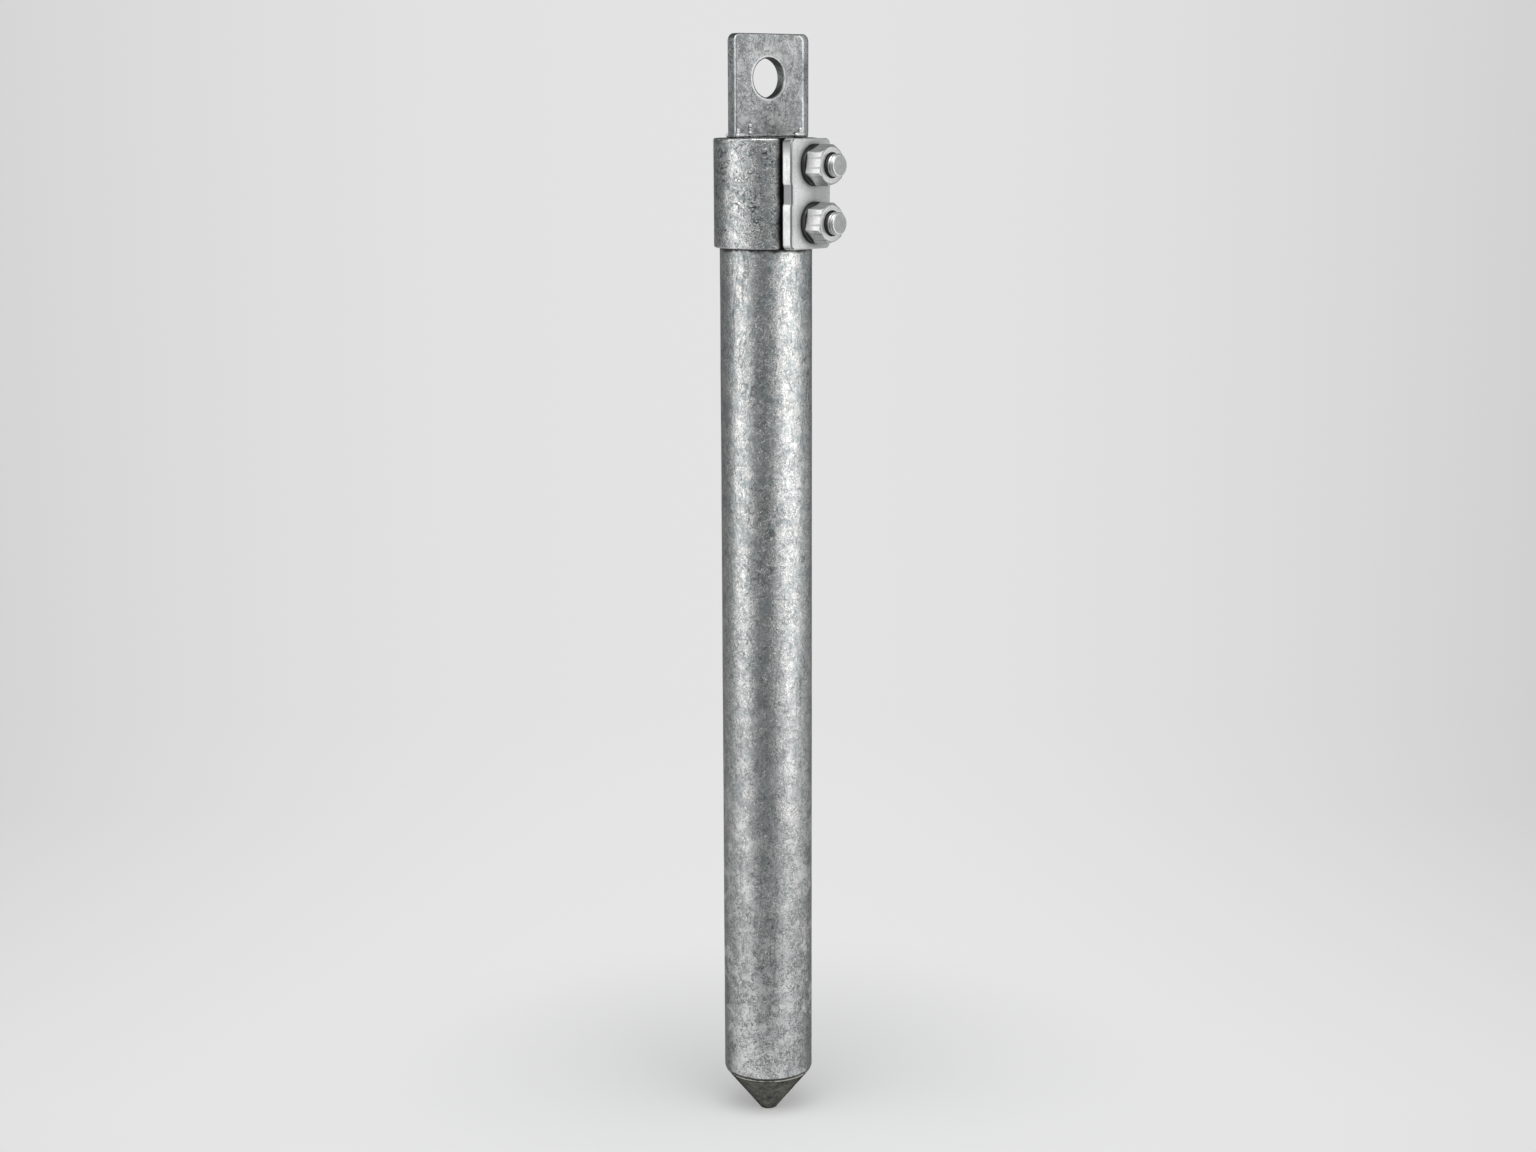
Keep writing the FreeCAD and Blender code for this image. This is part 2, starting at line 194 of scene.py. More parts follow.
def turn_on_lathe(name, section, sides, closed=True, place=Matrix.Identity(4)):
    """Turn a half section of (radius, height) about Z; an open section starts and ends on the axis."""
    bm = bmesh.new()
    rings = [add_loop(bm, [(radius * x, radius * y) for x, y in circle(sides)], height)
             for radius, height in section]
    join_loops(bm, rings + (rings[:1] if closed else []))
    return close_mesh(name, bm, place)


print("helpers for turned pieces are ready")

# %% [markdown]
# Node trees are long to build by hand. Here the result of a node is a `Value`, and reckoning with values
# adds the nodes that do it: a sum adds a Math node, `|` takes the larger of two, `&` the smaller, and
# `spread` adds a Map Range. The helpers serve geometry and shader trees alike, because Math, Mix, Map Range
# and Noise Texture are the same nodes in both.


# %% Helpers for node trees
class Value:
    """Result of a node, which can be reckoned with."""

    def __init__(self, socket):
        self.socket = socket
        self.tree = socket.id_data

    def __add__(self, other):
        return reckon("ADD", self, other)

    def __sub__(self, other):
        return reckon("SUBTRACT", self, other)

    def __rsub__(self, other):
        return reckon("SUBTRACT", other, self)

    def __mul__(self, other):
        return reckon("MULTIPLY", self, other)

    def __truediv__(self, other):
        return reckon("DIVIDE", self, other)

    def __or__(self, other):
        return reckon("MAXIMUM", self, other)

    def __and__(self, other):
        return reckon("MINIMUM", self, other)

    def __abs__(self):
        return reckon("ABSOLUTE", self)

    def spread(self, low, high, to_low=0.0, to_high=1.0, smooth=False):
        """Stretch the value from one range to another, held at both ends."""
        limits = {"Value": self, "From Min": low, "From Max": high, "To Min": to_low, "To Max": to_high}
        return add_value(self.tree, "ShaderNodeMapRange", limits,
                         interpolation_type="SMOOTHSTEP" if smooth else "LINEAR")


def fill(node, inputs):
    """Give a node's inputs plain values, or link them to the results of other nodes."""
    for name, value in inputs.items():
        if isinstance(value, Value):
            value.tree.links.new(value.socket, node.inputs[name])
        else:
            node.inputs[name].default_value = value


def add_node(tree, kind, inputs=None, **options):
    """Add a node, set its options, and fill its inputs."""
    node = tree.nodes.new(kind)
    for option, value in options.items():
        setattr(node, option, value)
    fill(node, inputs or {})
    return node


def add_value(tree, kind, inputs=None, output=0, **options):
    """Add a node and give one of its results."""
    return Value(add_node(tree, kind, inputs, **options).outputs[output])


def tree_of(values):
    """Tree that the values among some inputs are in."""
    return next(value.tree for value in values if isinstance(value, Value))


def reckon(operation, *values, clamp=False):
    """Result of a Math node."""
    return add_value(tree_of(values), "ShaderNodeMath", dict(enumerate(values)), operation=operation,
                     use_clamp=clamp)


def blend(share, first, second, mode="MIX"):
    """Mix two colours; a Mix node takes its colours at 6 and 7 and gives their blend at 2."""
    return add_value(tree_of((share, first, second)), "ShaderNodeMix", {0: share, 6: first, 7: second}, 2,
                     data_type="RGBA", blend_type=mode)


def noise(place, scale, detail=2.0, roughness=0.5, distortion=0.0):
    """Noise at a place."""
    return add_value(place.tree, "ShaderNodeTexNoise", {
        "Vector": place, "Scale": scale, "Detail": detail, "Roughness": roughness, "Distortion": distortion})


def vector_math(operation, *vectors, output="Vector"):
    """Result of a Vector Math node."""
    return add_value(vectors[0].tree, "ShaderNodeVectorMath", dict(enumerate(vectors)), output,
                     operation=operation)


def stretch(place, factors):
    """Scale a place by a factor for each axis."""
    return vector_math("MULTIPLY", place, factors)


def length(vector):
    """Length of a vector."""
    return vector_math("LENGTH", vector, output="Value")


def axis(place, letter):
    """One axis of a place."""
    return add_value(place.tree, "ShaderNodeSeparateXYZ", {0: place}, letter)


def combine(x, y=0.0, z=0.0):
    """Place from its axes."""
    return add_value(x.tree, "ShaderNodeCombineXYZ", {"X": x, "Y": y, "Z": z})


def new_group(name, kind, inputs, outputs):
    """Start a node group with named sockets, and give its tree, its inputs' values and its output node."""
    tree = bpy.data.node_groups.new(name, kind)
    for socket_name, socket_kind, default in inputs:
        socket = tree.interface.new_socket(name=socket_name, in_out="INPUT",
                                           socket_type="NodeSocket" + socket_kind)
        if default is not None:
            socket.default_value = default
    for socket_name, socket_kind in outputs:
        tree.interface.new_socket(name=socket_name, in_out="OUTPUT", socket_type="NodeSocket" + socket_kind)
    given = {socket.name: Value(socket) for socket in tree.nodes.new("NodeGroupInput").outputs}
    return tree, given, tree.nodes.new("NodeGroupOutput")


def grey(share):
    """Grey of a brightness."""
    return (share, share, share, 1)


print("helpers for node trees are ready")

# %% [markdown]
# ## Hot-dip zinc
# The pipe, collar, lug and plate were dipped in molten zinc. The coat froze into soft patches a few
# millimetres across, with fine curled creases between them and a grain like sand, and it has dulled
# where it weathered. All of the pieces share that in their own measure, so it is one node group with
# named inputs. An image could hold it, but noise in object coordinates has no seams and stays sharp at
# any distance. The creases are thin level lines of a noise, cut into short curls by another.


# %% Shader group: the zinc coat
def curl_lines(place, scale, width, cut_scale):
    """Short curled lines: the level lines of a bent noise, where a second noise is high."""
    level = abs(noise(place, scale, 2.0, 0.5, 1.6) - 0.5)
    return level.spread(width * 0.35, width, 1.0, 0.0) * noise(place, cut_scale, 2.0, 0.6).spread(0.42, 0.52)


def make_zinc_group():
    """Colour, roughness and height of a zinc coat, from a place in metres."""
    tree, given, result = new_group("zinc_coat", "ShaderNodeTree", [
        ("Vector", "Vector", None),
        ("Light Zinc", "Color", (0.84, 0.825, 0.805, 1)),
        ("Dark Zinc", "Color", (0.37, 0.41, 0.42, 1)),
        ("Crease Depth", "Float", 0.9),
        ("Bright Roughness", "Float", 0.255),
        ("Dull Roughness", "Float", 0.43),
        ("Dullness", "Float", 0.0),
        ("Crevice Shade", "Float", 0.0),
        ("Worn", "Float", 0.0),
    ], [("Color", "Color"), ("Roughness", "Float"), ("Height", "Float")])
    place = given["Vector"]
    patches = noise(place, 85.0, 3.0, 0.6, 0.6)
    mottle = noise(place, 260.0, 4.0, 0.68, 0.9)
    grain = noise(place, 950.0, 3.0, 0.75, 0.4)
    crease = curl_lines(place, 150.0, 0.030, 95.0) | curl_lines(place, 330.0, 0.045, 140.0) * 0.75
    tone = (patches * 0.50 + mottle * 0.80 + grain * 0.60).spread(0.80, 1.10)
    color = blend(tone, given["Dark Zinc"], given["Light Zinc"])
    color = blend(crease * given["Crease Depth"], color, (0.09, 0.10, 0.10, 1))
    color = blend(noise(place, 45.0, 3.0, 0.6).spread(0.56, 0.72, 0.0, 0.22), color, (0.50, 0.46, 0.42, 1))
    # Crevice Shade is painted shade: near black laid into the corners that Ambient Occlusion finds
    color = blend(given["Crevice Shade"], color, (0.035, 0.036, 0.035, 1))
    color = blend(given["Worn"], color, grey(0.80))
    dull = reckon("ADD", tone * -0.55 + 0.4, given["Dullness"], clamp=True)
    rough = dull.spread(0.0, 1.0, given["Bright Roughness"], given["Dull Roughness"])
    rough = reckon("MULTIPLY_ADD", given["Crevice Shade"], 0.4, rough, clamp=True)
    height = patches * 0.42 + mottle * 0.30 + grain * 0.32 + crease * -0.08
    fill(result, {"Color": color, "Roughness": rough, "Height": height})
    return tree


zinc_group = make_zinc_group()
print("zinc coat:", len(zinc_group.nodes), "nodes")

# %% [markdown]
# Each finish is a material that places the group with its own values. The shader, and the nodes that read the
# mesh around a point, stay in the material: Pointiness finds worn edges, a mark that the mesh carries names
# the rubbed ones, and a short Ambient Occlusion finds the corners, which get a painted shade. None of them
# depends on where the camera stands; only the painted rim shade, which darkens a surface where it turns away
# from the eye, follows the eye. A finish remembers what feeds its shader, so that further marks can be laid
# over it.


# %% Zinc finishes
class Finish:
    """Material with its shader, and the place of each point on the object."""

    def __init__(self, name):
        self.material = bpy.data.materials.new(name)
        self.material.use_nodes = True
        self.tree = self.material.node_tree
        self.tree.nodes.clear()
        self.shader = add_node(self.tree, "ShaderNodeBsdfPrincipled")
        self.surface = add_node(self.tree, "ShaderNodeOutputMaterial", {0: Value(self.shader.outputs[0])})
        self.place = add_value(self.tree, "ShaderNodeTexCoord", output="Object")
        self.fed = {}

    def feed(self, inputs):
        """Feed the shader, and remember what feeds it."""
        fill(self.shader, inputs)
        self.fed.update(inputs)

    def mark(self, name):
        """Value that the mesh carries at each point under a name."""
        return add_value(self.tree, "ShaderNodeAttribute", output="Fac", attribute_name=name)

    def painted_rim_shade(self, low, high, strength):
        """Share of painted rim shade, which grows where the surface turns away from the eye."""
        facing = add_value(self.tree, "ShaderNodeLayerWeight", {"Blend": 0.5}, "Facing")
        return facing.spread(low, high, 0.0, strength)

    def lay(self, mask, color, roughness):
        """Lay a second colour and roughness over the finish where a mask says."""
        self.feed({"Base Color": blend(mask, self.fed["Base Color"], color),
                   "Roughness": mask * roughness + self.fed["Roughness"] * (1.0 - mask)})

    def shade(self, mask, color):
        """Darken the finish by a colour where a mask says."""
        old = self.fed["Base Color"]
        self.feed({"Base Color": blend(mask, old, blend(1.0, old, color, "MULTIPLY"))})


def zinc_finish(name, bump_depth, worn=0.3, rubbed_or_shaded=0.0, crevice_shade=0.8, reach=3.0 * MM, open_from=0.85,
                metallic=1.0, sheen=0.2, rim=0.0, rim_from=0.55, **values):
    """Zinc with its own values for the group's inputs."""
    finish = Finish(name)
    tree = finish.tree
    openness = add_value(tree, "ShaderNodeAmbientOcclusion", {"Distance": reach}, "AO", samples=8)
    pointiness = add_value(tree, "ShaderNodeNewGeometry", output="Pointiness")
    broken = noise(finish.place, 500.0, 2.0, 0.6).spread(0.35, 0.55, 0.45, 1.0)
    finish.coat = add_node(tree, "ShaderNodeGroup", node_tree=zinc_group)
    fill(finish.coat, {socket.replace("_", " "): value for socket, value in values.items()})
    fill(finish.coat, {
        "Vector": finish.place,
        "Crevice Shade": openness.spread(0.15, open_from, crevice_shade, 0.0),
        "Worn": pointiness.spread(0.506, 0.535, 0.0, worn) | finish.mark("rubbed_or_shaded") * rubbed_or_shaded * broken,
    })
    color, roughness, height = [Value(output) for output in finish.coat.outputs]
    # The base colour carries a painted rim shade where the surface turns away from the eye
    finish.feed({
        "Base Color": blend(finish.painted_rim_shade(rim_from, rim_from + 0.3, rim), color, grey(0.03)),
        "Roughness": roughness,
        "Normal": add_value(tree, "ShaderNodeBump", {"Height": height, "Distance": bump_depth}),
        "Metallic": metallic,
        "Specular Tint": grey(0.5),
        "Specular IOR Level": sheen,
    })
    return finish


# Painted shade: the rim values darken the pipe, the collar and the point where they turn away from the eye
pipe_zinc = zinc_finish("pipe_zinc", 0.5 * MM, rim=0.6, reach=5.0 * MM, open_from=0.95)
collar_zinc = zinc_finish("collar_zinc", 0.6 * MM, worn=0.6, rim=0.5)
lug_zinc = zinc_finish("lug_zinc", 0.42 * MM, worn=0.0, rubbed_or_shaded=0.8, Dullness=0.5, Crease_Depth=0.7,
                       Light_Zinc=(0.48, 0.485, 0.49, 1), Dark_Zinc=(0.25, 0.262, 0.266, 1))
plate_zinc = zinc_finish("plate_zinc", 0.12 * MM, worn=0.0, crevice_shade=1.0, reach=8.0 * MM, open_from=0.93,
                         Light_Zinc=(0.94, 0.94, 0.935, 1), Dark_Zinc=(0.78, 0.79, 0.795, 1),
                         Crease_Depth=0.15, Dullness=0.2)
nut_zinc = zinc_finish("nut_zinc", 0.04 * MM, worn=0.15, crevice_shade=1.0, reach=1.6 * MM, metallic=0.8,
                       Light_Zinc=(0.80, 0.80, 0.79, 1), Dark_Zinc=(0.72, 0.725, 0.72, 1),
                       Crease_Depth=0.2, Bright_Roughness=0.28, Dull_Roughness=0.36)
stud_zinc = zinc_finish("stud_zinc", 0.04 * MM, worn=0.6, crevice_shade=1.0, metallic=0.85, Crease_Depth=0.05,
                        Light_Zinc=grey(0.58), Dark_Zinc=(0.42, 0.425, 0.425, 1), Dullness=0.6)
# Painted shade: the washers' zinc is near black, for the shade between the plate and the nuts
shaded_washer_zinc = zinc_finish("shaded_washer_zinc", 0.05 * MM, worn=0.0, crevice_shade=1.0, reach=5.0 * MM, Dullness=0.8,
                          Light_Zinc=grey(0.10), Dark_Zinc=grey(0.05), Crease_Depth=0.05)
weld_zinc = zinc_finish("weld_zinc", 0.15 * MM, worn=0.8, crevice_shade=0.6, metallic=0.5, Crease_Depth=0.6,
                        Light_Zinc=grey(0.85), Dark_Zinc=grey(0.45))
point_steel = zinc_finish("point_steel", 0.5 * MM, worn=0.1, rim=0.95, rim_from=0.62, metallic=0.0, sheen=0.0,
                          Light_Zinc=(0.215, 0.21, 0.18, 1), Dark_Zinc=(0.055, 0.055, 0.052, 1),
                          Crease_Depth=0.5, Dullness=0.9)
print("finishes:", ", ".join(sorted(material.name for material in bpy.data.materials)))

# %% [markdown]
# The pipe's coat is brightest at the top and has dulled towards the ground, where it is clouded too, with
# fine squiggles, and thin runs of zinc and rain have left darker streaks down it. Height along the pipe
# drives the dullness and the clouds, and a noise that is stretched along the pipe draws the streaks. Towards
# the ground a painted shade also darkens the sides where they turn away from the eye. The chamfer of the
# mouth, in the groove at the seam, and the line under the collar are painted black as shade.

# %% Weather on the pipe
DULL_FROM = 0.08
DULL_TO = 0.36
place = pipe_zinc.place
height = axis(place, "Z")
low = height.spread(DULL_FROM, DULL_TO, 1.0, 0.0)
fill(pipe_zinc.coat, {"Dullness": low * 0.15,
                      "Crease Depth": height.spread(DULL_FROM, DULL_TO + 0.1, 0.95, 0.45)})
streaks = curl_lines(stretch(place, (1.0, 1.0, 0.12)), 75.0, 0.016, 60.0)
streaks = streaks * noise(place, 600.0, 2.0, 0.6).spread(0.35, 0.55) * 0.55
clouds = noise(place, 70.0, 3.0, 0.6, 0.8).spread(0.50, 0.62, smooth=True)
squiggles = curl_lines(place, 160.0, 0.034, 130.0) * 0.6 | curl_lines(place, 380.0, 0.065, 150.0) * 0.7
color = blend(low * 0.45, pipe_zinc.fed["Base Color"], (0.86, 0.87, 0.87, 1))
# Painted shade: low on the pipe, the sides darken more where they turn away from the eye
color = blend(pipe_zinc.painted_rim_shade(0.15, 0.60, 0.6) * low, color, grey(0.10))
color = blend(clouds * low * 0.5, color, grey(0.88))
color = blend(streaks | squiggles * low, color, (0.07, 0.075, 0.075, 1))
# Painted shade: near black in the groove of the mouth's chamfer and along a ragged line under the collar
mouth = height.spread(SEAM_HEIGHT + 1.0 * MM, SEAM_HEIGHT + 1.5 * MM, 0.9, 0.0)
ragged = noise(place, 160.0, 3.0, 0.6).spread(0.3, 0.7, 0.0, 2.4 * MM)
under_collar = (height + ragged).spread(COLLAR_BOTTOM - 0.6 * MM, COLLAR_BOTTOM + 0.6 * MM, 0.0, 0.85)
painted_shade = mouth | under_collar
pipe_zinc.feed({"Base Color": blend(painted_shade, color, (0.03, 0.03, 0.025, 1)), "Metallic": 1.0 - painted_shade})
print("weather on the pipe:", len(pipe_zinc.tree.nodes), "nodes in its finish")

# %% [markdown]
# Some marks belong to the clamp and the lug. Behind the plate's free edge the collar falls away in a narrow
# wedge, and its shade is painted near black right up to the edge. The relief in that edge is laid darker and
# rougher than the ends above and below it, and the studs' faces show the lines of the saw. Most follow the
# clamp's own direction across the studs, which a dot product with the place gives. Painted shade also darkens
# a line along the plate's left edge, the top of its end face, the whole end face a little, the front towards
# its right side, the studs where they leave the nuts, and the nuts at the edge of their turned faces and
# round their bores; the studs' chamfers get a painted highlight. The lug's bevelled strip is darkened with
# painted shade, and its mesh marks where it is. The wall of its hole and the grooves beside the bead at the
# point's seam are painted dark as shade, and the bead gets a painted highlight.


# %% Marks at the clamp
def measured(place, way):
    """Distance of a place from the rod's axis, along a direction."""
    return vector_math("DOT_PRODUCT", place, way, output="Value")


WEDGE_EDGE = -14.9 * MM
WEDGE_SOFTNESS = 2.4 * MM
WEDGE_FADE = (10.0 * MM, 12.5 * MM)
CLAMP_SIDE = (12.0 * MM, 14.0 * MM)
place = collar_zinc.place
inside = measured(place, ACROSS) + noise(place, 140.0, 2.0, 0.6).spread(0.3, 0.7, -0.3 * MM, 0.3 * MM)
painted_wedge_shade = inside.spread(WEDGE_EDGE - WEDGE_SOFTNESS, WEDGE_EDGE, smooth=True)
painted_wedge_shade = painted_wedge_shade * inside.spread(*WEDGE_FADE, 1.0, 0.0, smooth=True)
in_front = measured(place, OUTWARD).spread(*CLAMP_SIDE)
# Painted shade: the wedge behind the plate's free edge is laid near black
collar_zinc.lay(painted_wedge_shade * in_front, grey(0.012), 0.8)

END_FACE_EDGE = -17.3 * MM
TOP_SHADE_FROM = (19.0 * MM, 25.5 * MM)
RELIEF_END = (4.9 * MM, 5.4 * MM)
PLATE_SHADE = (-15.0 * MM, 12.0 * MM)
place = plate_zinc.place
above = axis(place, "Z") - PLATE_MIDDLE
across = measured(place, ACROSS)
relief = abs(above).spread(*RELIEF_END, 1.0, 0.0)
edge_face = across.spread(END_FACE_EDGE - 0.3 * MM, END_FACE_EDGE, 1.0, 0.0)
plate_zinc.lay(relief * edge_face, (0.40, 0.405, 0.41, 1), 0.5)
# Painted shade: a dark line along the plate's front edges, strongest down the left edge
plate_zinc.lay(plate_zinc.mark("rubbed_or_shaded") * 0.8, grey(0.10), 0.6)
# Painted shade: the top of the end face is laid grey
plate_zinc.lay(above.spread(*TOP_SHADE_FROM) * edge_face, grey(0.42), 0.5)
# Painted shade: the whole end face is darkened a little
plate_zinc.shade(edge_face, grey(0.86))
# Painted shade: the front darkens towards its right side
plate_zinc.shade(across.spread(*PLATE_SHADE), grey(0.54))
plate_zinc.feed({"Metallic": edge_face.spread(0.0, 1.0, 0.5, 1.0)})

NUT_FACE = 46.5 * MM
STUD_CHAMFER = 51.0 * MM
STUD_FACE = 51.75 * MM
place = stud_zinc.place
out = measured(place, OUTWARD)
lines = noise(combine(measured(place, ACROSS)), 1400.0, 2.0, 0.6).spread(0.40, 0.62, 0.0, 0.45)
on_face = out.spread(STUD_FACE - 0.05 * MM, STUD_FACE)
on_chamfer = out.spread(STUD_CHAMFER, STUD_CHAMFER + 0.2 * MM) - on_face
# Painted shade: the stud is near black where it leaves the nut
stud_zinc.lay(out.spread(NUT_FACE + 0.8 * MM, NUT_FACE + 2.2 * MM, 0.9, 0.0), grey(0.03), 0.7)
# Painted highlight: a bright band on the stud's chamfer
stud_zinc.lay(on_chamfer * 0.85, grey(0.88), 0.4)
stud_zinc.lay(lines * on_face, grey(0.24), 0.5)
# Painted shade: the nuts are near black at the edge of the turned face and round the bore
nut_zinc.lay(nut_zinc.mark("painted_shade_share") * 0.9, grey(0.04), 0.7)
print("marks: wedge, relief, plate edge and shade, stud faces, nuts")


# %% Marks on the lug and at the seam
def distance_from(place, spot, factors):
    """Distance from a spot on the lug's face, with a factor for each axis."""
    return length(stretch(vector_math("SUBTRACT", place, spot), factors))


STAIN_MIDDLE = (2.0 * MM, 0.0, PIPE_TOP + 7.0 * MM)
STAIN_FADE = (6.0 * MM, 20.0 * MM)
LUG_SHADE_TOP = PIPE_TOP + 34.0 * MM
place = lug_zinc.place
height = axis(place, "Z")
across = axis(place, "X")
# Painted shade: the bevelled strip is darker than the face
lug_zinc.shade(lug_zinc.mark("strip"), (0.80, 0.81, 0.82, 1))
# Painted shade: the face darkens towards the pipe's rim
lug_zinc.shade(height.spread(PIPE_TOP, LUG_SHADE_TOP, 1.0, 0.0), grey(0.93))
ragged = noise(place, 160.0, 3.0, 0.65).spread(0.3, 0.7, -5.0 * MM, 5.0 * MM)
stain = distance_from(place, STAIN_MIDDLE, (1.0, 0.0, 0.9)) + ragged
lug_zinc.shade(stain.spread(*STAIN_FADE, 1.0, 0.0, smooth=True), (0.70, 0.70, 0.69, 1))
from_hole = distance_from(place, (0.0, 0.0, LUG_HOLE_HEIGHT), (1.0, 0.0, 1.0))
hole_wall = from_hole.spread(LUG_HOLE_RADIUS + 0.5 * MM, LUG_HOLE_RADIUS + 0.8 * MM, 1.0, 0.0)
off_middle = abs(height - LUG_HOLE_HEIGHT)
painted_shade_share = off_middle.spread(2.0 * MM, 7.0 * MM, 0.2, 0.92) | across.spread(-2.0 * MM, 2.0 * MM, 0.92, 0.0)
# Painted shade: the wall of the hole is near black, lightest at the height of its middle on its right side
lug_zinc.lay(hole_wall * painted_shade_share, grey(0.095), 0.6)
lug_zinc.feed({"Metallic": across.spread(lug_low.x + 0.1 * MM, lug_low.x + 0.4 * MM, 0.75, 1.0)})

height = axis(point_steel.place, "Z")
on_bead = height.spread(SEAM_HEIGHT - 1.25 * MM, SEAM_HEIGHT - 1.05 * MM)
below_mouth = height.spread(SEAM_HEIGHT - 0.40 * MM, SEAM_HEIGHT - 0.30 * MM, 1.0, 0.0)
broken = noise(point_steel.place, 260.0, 2.0, 0.6).spread(0.38, 0.52, 0.30, 1.0)
# Painted shade: near black on the point above its cone, in the grooves around the seam's bead
point_steel.lay(height.spread(SEAM_HEIGHT - 2.0 * MM, SEAM_HEIGHT - 1.6 * MM), (0.02, 0.02, 0.017, 1), 0.7)
# Painted highlight: a broken light line along the bead
point_steel.lay(on_bead * below_mouth * broken, (0.58, 0.565, 0.51, 1), 0.4)
print("marks: strip, stain, hole, seam")

# %% [markdown]
# ## Skin of the pipe and the collar
# Molten zinc drains down a pipe and freezes in low waves. The waves are real shape, not only shading, so
# a Geometry Nodes tree pushes the points of a closely ringed tube inwards by up to a few tenths of a
# millimetre. It never pushes outwards, so the pipe keeps its size. The same tree serves the collar and
# the point with other values. A Displace modifier would need an image and could not spare the bore.


# %% Geometry group: waves in the skin
def end_group(geometry, given, result):
    """Realize and paint what a geometry group made, and give it out."""
    real = add_value(geometry.tree, "GeometryNodeRealizeInstances", {"Geometry": geometry})
    painted = add_value(geometry.tree, "GeometryNodeSetMaterial",
                        {"Geometry": real, "Material": given["Material"]})
    fill(result, {"Geometry": painted})
    return geometry.tree


def make_skin_group():
    """Push the outside of a round piece inwards in soft waves."""
    tree, given, result = new_group("skin_waves", "GeometryNodeTree", [
        ("Geometry", "Geometry", None),
        ("Skin Radius", "Float", 0.0),
        ("Wave Depth", "Float", 0.2 * MM),
        ("Wave Scale", "Float", 55.0),
        ("Lump Depth", "Float", 0.1 * MM),
        ("Lump Scale", "Float", 160.0),
        ("Seed", "Float", 1.0),
        ("Material", "Material", None),
    ], [("Geometry", "Geometry")])
    place = add_value(tree, "GeometryNodeInputPosition")
    outside = reckon("GREATER_THAN", length(stretch(place, (1.0, 1.0, 0.0))), given["Skin Radius"])
    seeded = vector_math("ADD", place, combine(given["Seed"]))
    waves = noise(stretch(seeded, (1.0, 1.0, 0.45)), given["Wave Scale"]) * given["Wave Depth"]
    lumps = noise(seeded, given["Lump Scale"]) * given["Lump Depth"]
    push = {0: add_value(tree, "GeometryNodeInputNormal"), "Scale": (waves + lumps) * outside * -1.0}
    offset = add_value(tree, "ShaderNodeVectorMath", push, operation="SCALE")
    moved = add_value(tree, "GeometryNodeSetPosition", {"Geometry": given["Geometry"], "Offset": offset})
    return end_group(moved, given, result)


def run_tree(piece, tree, values):
    """Run a geometry tree on a piece with named values, and keep its result as a plain mesh."""
    modifier = piece.modifiers.new(tree.name, "NODES")
    modifier.node_group = tree
    for item in tree.interface.items_tree:
        if item.in_out == "INPUT" and item.name in values:
            modifier[item.identifier] = values[item.name]
    depsgraph = bpy.context.evaluated_depsgraph_get()
    mesh = bpy.data.meshes.new_from_object(piece.evaluated_get(depsgraph))
    piece.modifiers.clear()
    piece.data = mesh
    mesh.name = piece.name


def make_skin(name, section, finish, values, sides=256, closed=True):
    """Turn a section into a piece whose outside has waves."""
    skin = link_piece(name, turn_on_lathe(name, section, sides, closed), finish)
    run_tree(skin, skin_group, {**values, "Material": finish.material})
    return skin


skin_group = make_skin_group()
print("skin waves:", len(skin_group.nodes), "nodes")

# %% [markdown]
# ## Pipe
# A length of round pipe, open at the top, with its outside turned down a little where the collar sits.
# Its wall is one closed section. The rings stand close together on the outside, where the waves are.

# %% Pipe
MOUTH_CHAMFER = 0.8 * MM
SEAT_RADIUS = PIPE_RADIUS - 0.5 * MM
ZINC_EDGE = 0.5 * MM
PIPE_RING_GAP = 1.5 * MM
PIPE_SKIN = SEAT_RADIUS + 0.1 * MM
pipe_section = round_corners([
    (BORE_RADIUS, SEAM_HEIGHT),
    (PIPE_RADIUS - MOUTH_CHAMFER, SEAM_HEIGHT),
    (PIPE_RADIUS, SEAM_HEIGHT + MOUTH_CHAMFER),
    (PIPE_RADIUS, COLLAR_BOTTOM),
    (SEAT_RADIUS, COLLAR_BOTTOM),
    (SEAT_RADIUS, PIPE_TOP),
    (BORE_RADIUS, PIPE_TOP),
], ZINC_EDGE)
pipe_section = split_sides(pipe_section, PIPE_RING_GAP, lambda start, end: min(start.x, end.x) > PIPE_SKIN)
pipe_skin = make_skin("pipe_skin", pipe_section, pipe_zinc,
                      {"Skin Radius": PIPE_SKIN, "Wave Depth": 0.24 * MM, "Lump Depth": 0.08 * MM})
hand_over(pipe_skin, "galvanised_pipe", "pipe")

# %% [markdown]
# ## Collar
# A short sleeve over the pipe's end, with rims that the zinc has rounded.

# %% Collar
COLLAR_BORE = SEAT_RADIUS + 0.05 * MM
COLLAR_EDGE = 1.3 * MM
COLLAR_RING_GAP = 0.8 * MM
collar_section = round_corners([
    (COLLAR_BORE, COLLAR_BOTTOM),
    (COLLAR_RADIUS, COLLAR_BOTTOM),
    (COLLAR_RADIUS, PIPE_TOP),
    (COLLAR_BORE, PIPE_TOP),
], COLLAR_EDGE, steps=6)
collar_section = split_sides(collar_section, COLLAR_RING_GAP,
                             lambda start, end: min(start.x, end.x) > COLLAR_BORE + MM)
collar_skin = make_skin("collar_skin", collar_section, collar_zinc, {
    "Skin Radius": COLLAR_BORE + MM, "Wave Depth": 0.2 * MM, "Lump Depth": 0.1 * MM, "Seed": 4.0})
hand_over(collar_skin, "galvanised_collar", "collar")

# %% [markdown]
# ## Driving point
# A solid dark steel point that is welded to the pipe's mouth, with a spigot up its bore. A thin bead of
# weld stands between two fine grooves at the seam. The cone is forged, so it has a few shallow dents,
# and its tip is blunt.

